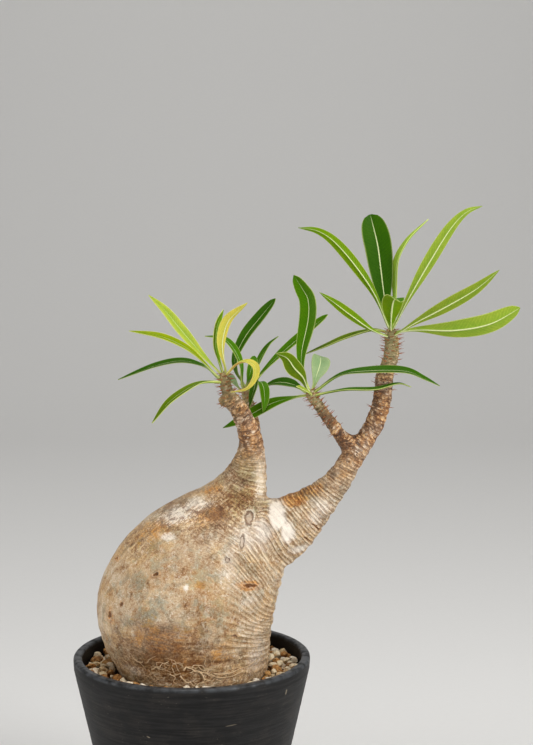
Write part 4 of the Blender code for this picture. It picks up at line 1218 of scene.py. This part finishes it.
    def scaly_skin(self):
        """Small knobs and pits packed on the branches, with dark seams, and the seams' own cells."""
        packed = self.unrolled(1, 1.5)
        dots = self.cells(packed, 1.9 * MM, randomness=0.7)
        shade = self.split(self.cells(packed, 1.9 * MM, randomness=0.7, output="Color"))
        # The relief weight paints raised scales paler and sunk ones darker: painted light and painted shade.
        tone = self.tone((shade["X"], 0.6), (self.mottle, 2), (self.streaks, 1.6), (self.clouds, 0.5),
                         (self.relief, 0.6))
        colour = self.ramp(tone, ((0.1, (0.08, 0.04, 0.022)), (0.3, (0.2, 0.11, 0.06)),
                                  (0.5, (0.48, 0.3, 0.17)), (0.68, (0.68, 0.5, 0.35)),
                                  (0.88, (0.84, 0.73, 0.62))))
        seams = self.band(dots, 0.42, 0.62)
        colour = self.paint(colour, (0.13, 0.06, 0.03), seams, self.band(self.mottle, 0.42, 0.56, 0.3, 0.8))
        warm = self.band(self.noise(self.place, 5 * MM, detail=4), 0.4, 0.56, 0.25, 1)
        colour = self.glaze(colour, (1, 0.72, 0.4), self.math("MAXIMUM", self.orange_mask, warm))
        colour = self.paint(colour, (0.29, 0.28, 0.12), self.green, 0.75)
        knobs = self.product(self.band(dots, 0.36, 0.2), self.band(shade["Y"], 0.62, 0.5))
        colour = self.paint(colour, (0.68, 0.54, 0.4), knobs, 0.6)
        pits = self.product(self.band(dots, 0.4, 0.22), self.band(shade["Y"], 0.62, 0.74))
        colour = self.paint(colour, (0.08, 0.035, 0.02), pits, self.band(self.green, 0.2, 0.7, 0.85, 0.5))
        # The dark patches, with their painted shade, also darken the scales.
        return self.glaze(colour, self.dark_pigment_and_shade, self.pigment_and_shade_mask), dots


class PACHYPODIUM_OT_caudex(bpy.types.Operator):
    """Grow fine bark on the caudex: ridges, rings, scars and patches of colour"""

    bl_idname = "pachypodium.caudex"
    bl_label = "Caudex"

    def execute(self, context):
        look = context.scene.bark_look
        obj = self.bare_copy(look)
        mesh = obj.data
        flat = np.zeros(3 * len(mesh.vertices))
        mesh.vertices.foreach_get("co", flat)
        points = self.relaxed(mesh, flat.reshape(-1, 3)) / MM
        mesh.vertices.foreach_set("co", (points * MM).ravel())
        mesh.update()
        mesh.vertices.foreach_get("normal", flat)
        normals = flat.reshape(-1, 3).copy()
        along, middle = Bark.along(points)
        along += 1.3 * noise_at(points, 16) + 0.3 * noise_at(points, 5, 3)
        rings, scales = self.grain_masks(points, middle)
        height = self.relief(look, points, along, rings, scales)
        shares = self.patches(points)
        points += normals * height[:, None]
        mesh.vertices.foreach_set("co", (points * MM).ravel())
        mesh.update()
        self.store(mesh, "form", "FLOAT_VECTOR", "vector", np.column_stack((along, rings, scales)))
        self.store(mesh, "relief", "FLOAT", "value", np.clip(0.5 + 0.6 * height, 0, 1))
        self.store(mesh, "tint", "FLOAT_COLOR", "color", shares[:, :4])
        self.store(mesh, "rough", "FLOAT", "value", shares[:, 4])
        select_only(obj)
        bpy.ops.object.shade_smooth()
        Bark.obj = obj
        finish_piece(obj, "bark", BarkSkin(look).build(), "bark", "caudex")
        return {"FINISHED"}

    def bare_copy(self, look):
        """A copy of the CAD caudex without its spines, whose tips are kept, remeshed fine."""
        obj = frame["nodes"]["caudex"].copy()
        obj.data = obj.data.copy()
        obj.parent = None
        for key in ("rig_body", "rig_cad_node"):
            del obj[key]
        bpy.context.collection.objects.link(obj)
        select_only(obj)
        with edit_mode():
            bpy.ops.mesh.remove_doubles(threshold=0.001 * MM)
            bpy.ops.mesh.select_all(action="DESELECT")
        mesh = obj.data
        neighbours = [[] for _ in mesh.vertices]
        for edge in mesh.edges:
            first, second = edge.vertices
            neighbours[first].append(second)
            neighbours[second].append(first)
        Bark.tips = []
        for vertex, near in zip(mesh.vertices, neighbours):
            if len(near) < 3:
                continue
            ways = [(mesh.vertices[other].co - vertex.co) for other in near]
            mean = sum((way.normalized() for way in ways), Vector()) / len(ways)
            if mean.length > 0.93 and min(way.length for way in ways) > 1.2 * MM:
                root = vertex.co + sum(ways, Vector()) / len(ways)
                Bark.tips.append((root, vertex.co.copy()))
                vertex.select = True
        with edit_mode(None):
            bpy.ops.mesh.delete(type="VERT")
            bpy.ops.mesh.select_all(action="SELECT")
            bpy.ops.mesh.fill_holes(sides=0)
        mesh.remesh_voxel_size = look.voxel
        bpy.ops.object.voxel_remesh()
        return obj

    def relaxed(self, mesh, points):
        """Evens out the facets: each pass moves points to their neighbours' mean and nearly back."""
        ends = np.zeros(2 * len(mesh.edges), int)
        mesh.edges.foreach_get("vertices", ends)
        first, second = ends.reshape(-1, 2).T
        count = np.bincount(ends, minlength=len(points))[:, None]
        for share in (0.5, -0.51) * 16:
            total = np.zeros_like(points)
            for axis in range(3):
                total[:, axis] = np.bincount(first, points[second, axis], len(points))
                total[:, axis] += np.bincount(second, points[first, axis], len(points))
            points = points + share * (total / count - points)
        return points

    def grain_masks(self, points, middle):
        """Shares of ridges across the limb, and of rough scales on the thin branches."""
        x, y, z = points.T
        ragged = 4 * noise_at(points, 7, 21)
        scales = smooth_step(middle + 0.3 * ragged, 12, 7) * smooth_step(z + ragged, 172, 207)
        limb = smooth_step(middle, 21, 14) * smooth_step(x + 0.4 * (z - 150), 30, 44)
        flank = smooth_step(x - 0.15 * np.abs(y), 0, 30)
        low = 0.4 * smooth_step(z, 112, 96)
        rings = np.clip(np.maximum(np.maximum(limb, flank), low), 0, 1) * (1 - 0.5 * scales)
        return rings, scales

    def relief(self, look, points, along, rings, scales):
        """Height of the bark over the smooth form, in millimetres."""
        x, y, z = points.T
        strength = 0.65 + 0.5 * noise_at(points, 9, 7)
        ridge = np.abs(np.sin(np.pi * along * MM / look.ridge_pitch)) - 0.64
        low = smooth_step(z, FINE_RINGS_FROM, BROAD_RIDGES_TO)
        height = 1.2 * look.ridge / MM * ridge * rings * strength * low
        fine = -0.5 * np.cos(np.pi * along * MM / look.ring_pitch)
        height += 0.25 * fine * np.maximum(rings * (1 - low), 0.8 * scales) * (0.7 + 0.6 * strength)
        height += 0.16 * noise_at(points, 2.6, 5) * (0.35 + scales) + 0.25 * noise_at(points, 8, 11)
        for marks, lip, depth in ((KNOTS, 0.3, 0.15), (PITS, 0.25, 0.9)):
            for middle_point, reach, tilt in marks:
                turn = np.array(Matrix.Rotation(math.radians(tilt), 3, "Y"))
                apart = np.linalg.norm((points - middle_point) @ turn / reach, axis=1)
                height += lip * np.exp(-((apart - 1.3) * 2.6) ** 2) - depth * np.exp(-(apart * 1.1) ** 4)
        return height * smooth_step(z, 82, 88)

    def patches(self, points):
        """Shares of orange, green, dark, pale and rough at each point, in the order of PATCHES."""
        ragged = 1 + 0.35 * noise_at(points, 6, 13)[:, None] + 0.2 * noise_at(points, 2.2, 17)[:, None]
        shares = []
        for patches in PATCHES.values():
            share = np.zeros(len(points))
            for middle, reach, strength in patches:
                apart = (((points - middle) / reach * ragged) ** 2).sum(axis=1)
                share = np.maximum(share, strength * np.exp(-apart))
            shares.append(share)
        return np.clip(np.column_stack(shares), 0, 1)

    def store(self, mesh, name, kind, field, values):
        attribute = mesh.attributes.new(name, kind, "POINT")
        attribute.data.foreach_set(field, values.astype(np.float32).ravel())


class PACHYPODIUM_OT_spines(bpy.types.Operator):
    """Set a slender curved spine where each plain one stands"""

    bl_idname = "pachypodium.spines"
    bl_label = "Spines"

    sunk = 0.3 * MM
    spiral_turn = math.radians(137.5)
    widest_stem = 9 * MM

    def execute(self, context):
        look = context.scene.spine_look
        model = self.add_model(look)
        draw = random.Random(11)
        copies = []
        old_places = [(root, tip - root) for root, tip in Bark.tips]
        for root, out in [*old_places, *self.young_places(look, draw)]:
            turn = out.to_track_quat("Z", "Y").to_matrix().to_4x4()
            roll = Matrix.Rotation(draw.uniform(0, 2 * math.pi), 4, "Z")
            start = root - out.normalized() * self.sunk
            thickness = look.radius * draw.uniform(0.8, 1.25)
            size = Matrix.Diagonal((thickness, thickness, out.length + self.sunk, 1))
            copy = model.copy()
            copy.data = model.data.copy()
            copy.data.transform(Matrix.Translation(start) @ turn @ roll @ size)
            bpy.context.collection.objects.link(copy)
            copies.append(copy)
        bpy.data.objects.remove(model, do_unlink=True)
        select_only(*copies)
        bpy.ops.object.join()
        smooth_by_angle(copies[0], 60)
        finish_piece(copies[0], "spines", self.horn(), "bark")
        return {"FINISHED"}

    def young_places(self, look, draw):
        """Pairs of spines in a spiral round the young end of each limb, fewer and shorter further down."""
        surface = Bark.surface()
        for name, length in YOUNG_WOOD.items():
            line = [point * MM for point in curve_through(LIMBS[name][-5:], 12)]
            down = 0.6 * MM
            turn = draw.uniform(0, 6)
            while down < length * MM:
                turn += self.spiral_turn
                down += look.step
                age = down / (length * MM)
                if draw.random() < age ** 1.5:
                    continue
                place, up = self.place_below_tip(line, down)
                for side in (-1, 1):
                    if draw.random() < 0.25 * age:
                        continue
                    aside = up.orthogonal().normalized()
                    aside.rotate(Matrix.Rotation(turn + 0.1 * side, 3, up))
                    seat, _, _, _ = surface.ray_cast(place, aside)
                    if seat is None or (seat - place).length > self.widest_stem:
                        continue
                    aside.rotate(Matrix.Rotation(0.3 * side, 3, up))
                    lean = up * draw.uniform(-0.05, 0.4)
                    grown = look.length * draw.uniform(0.7, 1.1) * (1 - 0.55 * age)
                    yield seat, (aside + lean).normalized() * grown

    def place_below_tip(self, line, down):
        """The point so far below the end of a line, and the way up the line there."""
        for upper, lower in zip(line[::-1], line[-2::-1]):
            step = (upper - lower).length
            if step >= down:
                return upper + (lower - upper) * down / step, (upper - lower).normalized()
            down -= step
        return line[0], (line[1] - line[0]).normalized()

    def add_model(self, look):
        """A spine one unit long and one unit in radius at its root, bent to one side."""
        bpy.ops.object.select_all(action="DESELECT")
        bpy.ops.mesh.primitive_cone_add(vertices=6, radius1=1, radius2=0.08, depth=1, location=(0, 0, 0.5))
        spine = bpy.context.object
        bpy.ops.object.transform_apply(location=True)
        with edit_mode():
            for height in (0.15, 0.4, 0.7):
                bpy.ops.mesh.bisect(plane_co=(0, 0, height), plane_no=(0, 0, 1))
                bpy.ops.mesh.select_all(action="SELECT")
        for vertex in spine.data.vertices:
            swell = 1 + 0.9 * max(0, 0.15 - vertex.co.z) / 0.15
            vertex.co.x = swell * vertex.co.x + look.bend * 10 * vertex.co.z ** 2
            vertex.co.y *= swell
        reach = spine.data.attributes.new("reach", "FLOAT", "POINT")
        reach.data.foreach_set("value", [vertex.co.z for vertex in spine.data.vertices])
        return spine

    def horn(self):
        """Red-brown horn, paler at the root and darkest at the tip."""
        horn = Recipe("spine_horn")
        reach = horn.attribute("reach", "Fac")
        colour = horn.ramp(reach, ((0, (0.34, 0.15, 0.05)), (0.4, (0.36, 0.085, 0.025)),
                                   (1, (0.2, 0.04, 0.015))))
        grain = horn.noise(horn.place, 2 * MM, detail=3)
        colour = horn.paint(colour, (0.4, 0.18, 0.06), horn.band(grain, 0.4, 0.7, 0, 0.5))
        return horn.finish(Base_Color=colour, Roughness=0.5, Specular_IOR_Level=0.3)


class PACHYPODIUM_OT_roots(bpy.types.Operator):
    """Lay fine dried roots over the foot of the bulb"""

    bl_idname = "pachypodium.roots"
    bl_label = "Dried roots"

    count = 260
    front_growth = 1.3
    cast_from = 80 * MM
    lowest = 86.5 * MM
    highest = 106 * MM
    stride = 0.7 * MM
    foot_radius = 40 * MM

    def execute(self, context):
        surface = Bark.surface()
        draw = random.Random(5)
        bpy.ops.object.select_all(action="DESELECT")
        curve = bpy.data.curves.new("dried_roots", "CURVE")
        curve.dimensions = "3D"
        curve.bevel_depth = 1
        curve.bevel_resolution = 1
        curve.use_fill_caps = True
        for radius, *points in FRONT_ROOTS:
            self.add_front_root(curve, surface, self.front_growth * radius * MM, points)
        for _ in range(self.count):
            self.add_rootlet(curve, surface, draw)
        roots = bpy.data.objects.new("dried_roots", curve)
        bpy.context.collection.objects.link(roots)
        select_only(roots)
        bpy.ops.object.convert(target="MESH")
        roots = context.object
        with edit_mode():
            bpy.ops.mesh.remove_doubles(threshold=0.01 * MM)
            bpy.ops.mesh.normals_make_consistent(inside=False)
        bpy.ops.object.shade_smooth()
        finish_piece(roots, "dried_roots", self.straw(), "bark")
        return {"FINISHED"}

    def add_front_root(self, curve, surface, radius, points):
        """A root through points seen from the front, lying on the bark."""
        seats = []
        for step, point in enumerate(curve_through([(x, 0, z) for x, z in points], 5)):
            start = Vector((point.x * MM, -self.cast_from, point.z * MM))
            seat, facing, _, _ = surface.ray_cast(start, Vector((0, 1, 0)))
            wave = 0.5 + 0.5 * math.sin(1.1 * step)
            seats.append(seat + facing * (0.7 * radius + 0.7 * MM * wave))
        self.add_spline(curve, seats, radius)

    def add_rootlet(self, curve, surface, draw):
        """A fine root that wanders over the foot of the bark, anywhere round it."""
        angle = math.radians(draw.uniform(0, 360))
        height = draw.uniform(87, 103) * MM
        heading = draw.uniform(0, 6.3)
        turn = draw.gauss(0, 0.25)
        radius = draw.uniform(0.08, 0.2) * MM
        seats = []
        for _ in range(draw.randint(6, 16)):
            out = Vector((math.cos(angle), math.sin(angle), 0))
            seat, facing, _, _ = surface.ray_cast(Vector((0, 0, height)) + out * self.cast_from, -out)
            if seat is None or not self.lowest < height < self.highest:
                break
            seats.append(seat + facing * radius * draw.uniform(0.5, 1.6))
            turn = 0.7 * turn + draw.gauss(0, 0.25)
            heading += turn
            angle += self.stride * math.cos(heading) / self.foot_radius
            height += self.stride * math.sin(heading)
        if len(seats) > 3:
            self.add_spline(curve, seats, radius)

    def add_spline(self, curve, seats, radius):
        spline = curve.splines.new("POLY")
        spline.points.add(len(seats) - 1)
        for index, (target, seat) in enumerate(zip(spline.points, seats)):
            target.co = (*seat, 1)
            target.radius = radius * (1.1 - 0.7 * index / len(seats))

    def straw(self):
        straw = Recipe("dried_root")
        colour = straw.mix(straw.noise(straw.place, 1.5 * MM), (0.42, 0.27, 0.13), (0.78, 0.58, 0.36))
        return straw.finish(Base_Color=colour, Roughness=0.75)


class PACHYPODIUM_OT_leaves(bpy.types.Operator):
    """Shape every leaf with its midrib, folded blade and thin margins"""

    bl_idname = "pachypodium.leaves"
    bl_label = "Leaves"

    columns = 16
    rows = 48
    rib_width = 0.42 * MM
    folded_base = math.radians(30)
    under_rib = 0.45 * MM
    upper_groove = 0.12 * MM

    def execute(self, context):
        look = context.scene.leaf_look
        surface = Bark.surface()
        skins = {}
        for branch, leaves in LEAVES.items():
            for index, (slot, upper, under, *shape) in enumerate(leaves):
                if slot not in skins:
                    skins[slot] = self.leaf_skin(slot)
                leaf = self.add_leaf(look, surface, LEAF_COLOURS[upper], LEAF_COLOURS[under], *shape)
                number = index + 1
                finish_piece(leaf, f"{branch}_leaf_{number}", skins[slot], slot, f"leaf_{branch}_{number}")
        return {"FINISHED"}

    def midrib_frames(self, midrib, face, surface):
        """Even points from the bark to the leaf's tip, each with its tangent and where its top faces."""
        path = [point * MM for point in curve_through(midrib, 16)]
        tangents = [(after - before).normalized() for before, after in zip(path, path[1:])]
        tangents.append(tangents[-1])
        middle = len(path) // 2
        facings = {middle: self.square_to(Vector(face), tangents[middle])}
        for index in range(middle + 1, len(path)):
            facings[index] = self.square_to(facings[index - 1], tangents[index])
        for index in range(middle - 1, -1, -1):
            facings[index] = self.square_to(facings[index + 1], tangents[index])
        start = next(index for index, point in enumerate(path) if self.is_outside(point, surface))
        start = max(start - 1, 0)
        reach = [0]
        for before, after in zip(path[start:], path[start + 1:]):
            reach.append(reach[-1] + (after - before).length)
        shares = np.array(reach) / reach[-1]
        wanted = np.linspace(0, 1, self.rows + 1)
        found = []
        for values in (path, tangents, [facings[index] for index in range(len(path))]):
            table = np.array(values[start:])
            found.append(np.column_stack([np.interp(wanted, shares, table[:, axis]) for axis in range(3)]))
        return found

    def square_to(self, direction, tangent):
        return (direction - tangent * direction.dot(tangent)).normalized()

    def is_outside(self, point, surface):
        near, facing, _, _ = surface.find_nearest(point)
        return (point - near).dot(facing) > 0

    def add_leaf(self, look, surface, upper, under, blade, width, face, midrib):
        path, tangents, facings = self.midrib_frames(midrib, face, surface)
        places = np.linspace(0, 1, self.rows + 1)
        rounded = np.array(curve_through([(place, share, 0) for place, share in blade], 8))
        widths = np.interp(places, rounded[:, 0], rounded[:, 1]) * width * MM / 2
        bpy.ops.object.select_all(action="DESELECT")
        bpy.ops.mesh.primitive_grid_add(x_subdivisions=self.columns, y_subdivisions=self.rows, size=1)
        leaf = bpy.context.object
        mesh = leaf.data
        grid = np.array([vertex.co for vertex in mesh.vertices])
        side = 2 * grid[:, 0]
        side -= 0.09 * np.sin(2 * np.pi * side)
        row = np.rint((grid[:, 1] + 0.5) * self.rows).astype(int)
        place = places[row]
        fold = look.fold + self.folded_base * smooth_step(place, 0.22, 0.03)
        across = np.cross(tangents[row], facings[row])
        half = widths[row]
        lift = np.abs(side) * half * np.sin(fold) - 0.5 * half * math.sin(look.fold)
        lift += look.camber * half * (np.abs(side) - side ** 2) * smooth_step(place, 0.1, 0.3)
        spread = side * half * np.cos(fold)
        shaped = path[row] + across * spread[:, None] + facings[row] * lift[:, None]
        mesh.vertices.foreach_set("co", shaped.ravel())
        chart = mesh.uv_layers.active.data
        for loop in mesh.loops:
            chart[loop.index].uv = (0.5 + side[loop.vertex_index] / 2, place[loop.vertex_index])
        rib = np.exp(-(side * half / self.rib_width) ** 2)
        thick = 0.42 + 0.58 * np.maximum(rib * (1 - 0.75 * place), smooth_step(place, 0.2, 0.02))
        group = leaf.vertex_groups.new(name="thick")
        for index, share in enumerate(thick):
            group.add([index], float(share), "REPLACE")
        apply_modifier(leaf, "Body", "SOLIDIFY", thickness=look.thickness, offset=0, vertex_group="thick",
                       thickness_vertex_group=0)
        leaf.vertex_groups.clear()
        self.tint(mesh, len(grid), upper, under, facings, row, place, side, rib)
        select_only(leaf)
        with edit_mode():
            bpy.ops.mesh.normals_make_consistent(inside=False)
        smooth_by_angle(leaf, 50)
        return leaf

    def tint(self, mesh, count, upper, under, facings, row, place, side, rib):
        """Colours both sides, raises the midrib on the under side and sinks it a little on the upper side."""
        points = np.array([vertex.co for vertex in mesh.vertices])
        step = facings[row]
        first_up = ((points[:count] - points[count:2 * count]) * step).sum(axis=1).mean() > 0
        tops, unders = (slice(0, count), slice(count, 2 * count))
        if not first_up:
            tops, unders = unders, tops
        points[unders] -= step * (rib * (1 - place) * self.under_rib)[:, None]
        points[tops] -= step * (rib * (1 - place) * self.upper_groove)[:, None]
        mesh.vertices.foreach_set("co", points.ravel())
        colours = np.tile(upper, (len(mesh.vertices), 1))
        colours[unders] = under
        young = smooth_step(place, 0.25, 0)[:, None]
        for half in (tops, unders):
            colours[half, :3] += (np.array((0.4, 0.5, 0.12)) - colours[half, :3]) * 0.55 * young
        attribute = mesh.attributes.new("leaf_tint", "FLOAT_COLOR", "POINT")
        attribute.data.foreach_set("color", colours.astype(np.float32).ravel())

    def leaf_skin(self, slot):
        """A satin leaf with a pale midrib, thin pale margins and faint side veins."""
        skin = Recipe(slot)
        chart = skin.split(skin.node("TexCoord").outputs["UV"])
        across = skin.math("ABSOLUTE", skin.math("SUBTRACT", chart["X"], 0.5))
        along = chart["Y"]
        tint = skin.attribute("leaf_tint")
        broad = skin.noise(skin.place, 8 * MM, detail=3)
        colour = skin.glaze(tint, (1.35, 1.15, 1.3), skin.band(broad, 0.35, 0.65, 0, 0.5))
        fine = skin.noise(skin.place, 0.9 * MM, detail=4, roughness=0.65)
        colour = skin.glaze(colour, (0.72, 0.8, 0.7), skin.band(fine, 0.4, 0.65, 0, 0.4))
        veins = skin.math("SINE", skin.math("SUBTRACT", skin.product(along, 210), skin.product(across, 30)))
        colour = skin.glaze(colour, (1.5, 1.3, 1.5), skin.band(veins, 0.7, 1, 0, 0.35))
        contrast = skin.attribute("leaf_tint", "Alpha")
        colour = skin.glaze(colour, (0.75, 0.9, 0.85), skin.band(across, 0.42, 0.1), contrast)
        colour = skin.paint(colour, (0.66, 0.7, 0.24), skin.band(across, 0.455, 0.485), contrast)
        width = skin.band(along, 0, 1, 0.044, 0.018)
        rib = skin.band(skin.math("SUBTRACT", width, across), -0.01, 0.01)
        colour = skin.paint(colour, (0.68, 0.73, 0.38), rib, skin.band(along, 0.7, 1, 0.95, 0.5))
        normal = skin.bump(veins, 0.03 * MM)
        normal = skin.bump(fine, 0.05 * MM, normal)
        return skin.finish(Base_Color=colour, Roughness=skin.band(fine, 0.3, 0.7, 0.42, 0.55), Normal=normal,
                           Specular_IOR_Level=0.08)


OPERATORS = (PACHYPODIUM_OT_stage, PACHYPODIUM_OT_pot, PACHYPODIUM_OT_grit, PACHYPODIUM_OT_caudex,
             PACHYPODIUM_OT_spines, PACHYPODIUM_OT_roots, PACHYPODIUM_OT_leaves)


class PACHYPODIUM_PT_pieces(bpy.types.Panel):
    """The steps that finish the plant, in order"""

    bl_label = "Potted pachypodium"
    bl_idname = "PACHYPODIUM_PT_pieces"
    bl_space_type = "VIEW_3D"
    bl_region_type = "UI"
    bl_category = "Pachypodium"

    def draw(self, context):
        for name, look in LOOKS.items():
            box = self.layout.box()
            box.label(text=look.__doc__)
            for setting in look.__annotations__:
                box.prop(getattr(context.scene, name), setting)
        for operator in OPERATORS:
            self.layout.operator(operator.bl_idname)


CLASSES = (*LOOKS.values(), *OPERATORS, PACHYPODIUM_PT_pieces)


def register():
    for each in CLASSES:
        bpy.utils.register_class(each)
    for name, look in LOOKS.items():
        setattr(bpy.types.Scene, name, PointerProperty(type=look))


def unregister():
    for name in LOOKS:
        delattr(bpy.types.Scene, name)
    for each in reversed(CLASSES):
        bpy.utils.unregister_class(each)


def main():
    register()
    bpy.ops.pachypodium.stage()
    bpy.ops.pachypodium.pot()
    bpy.ops.pachypodium.grit()
    bpy.ops.pachypodium.caudex()
    bpy.ops.pachypodium.spines()
    bpy.ops.pachypodium.roots()
    bpy.ops.pachypodium.leaves()


if __name__ == "__main__":
    main()
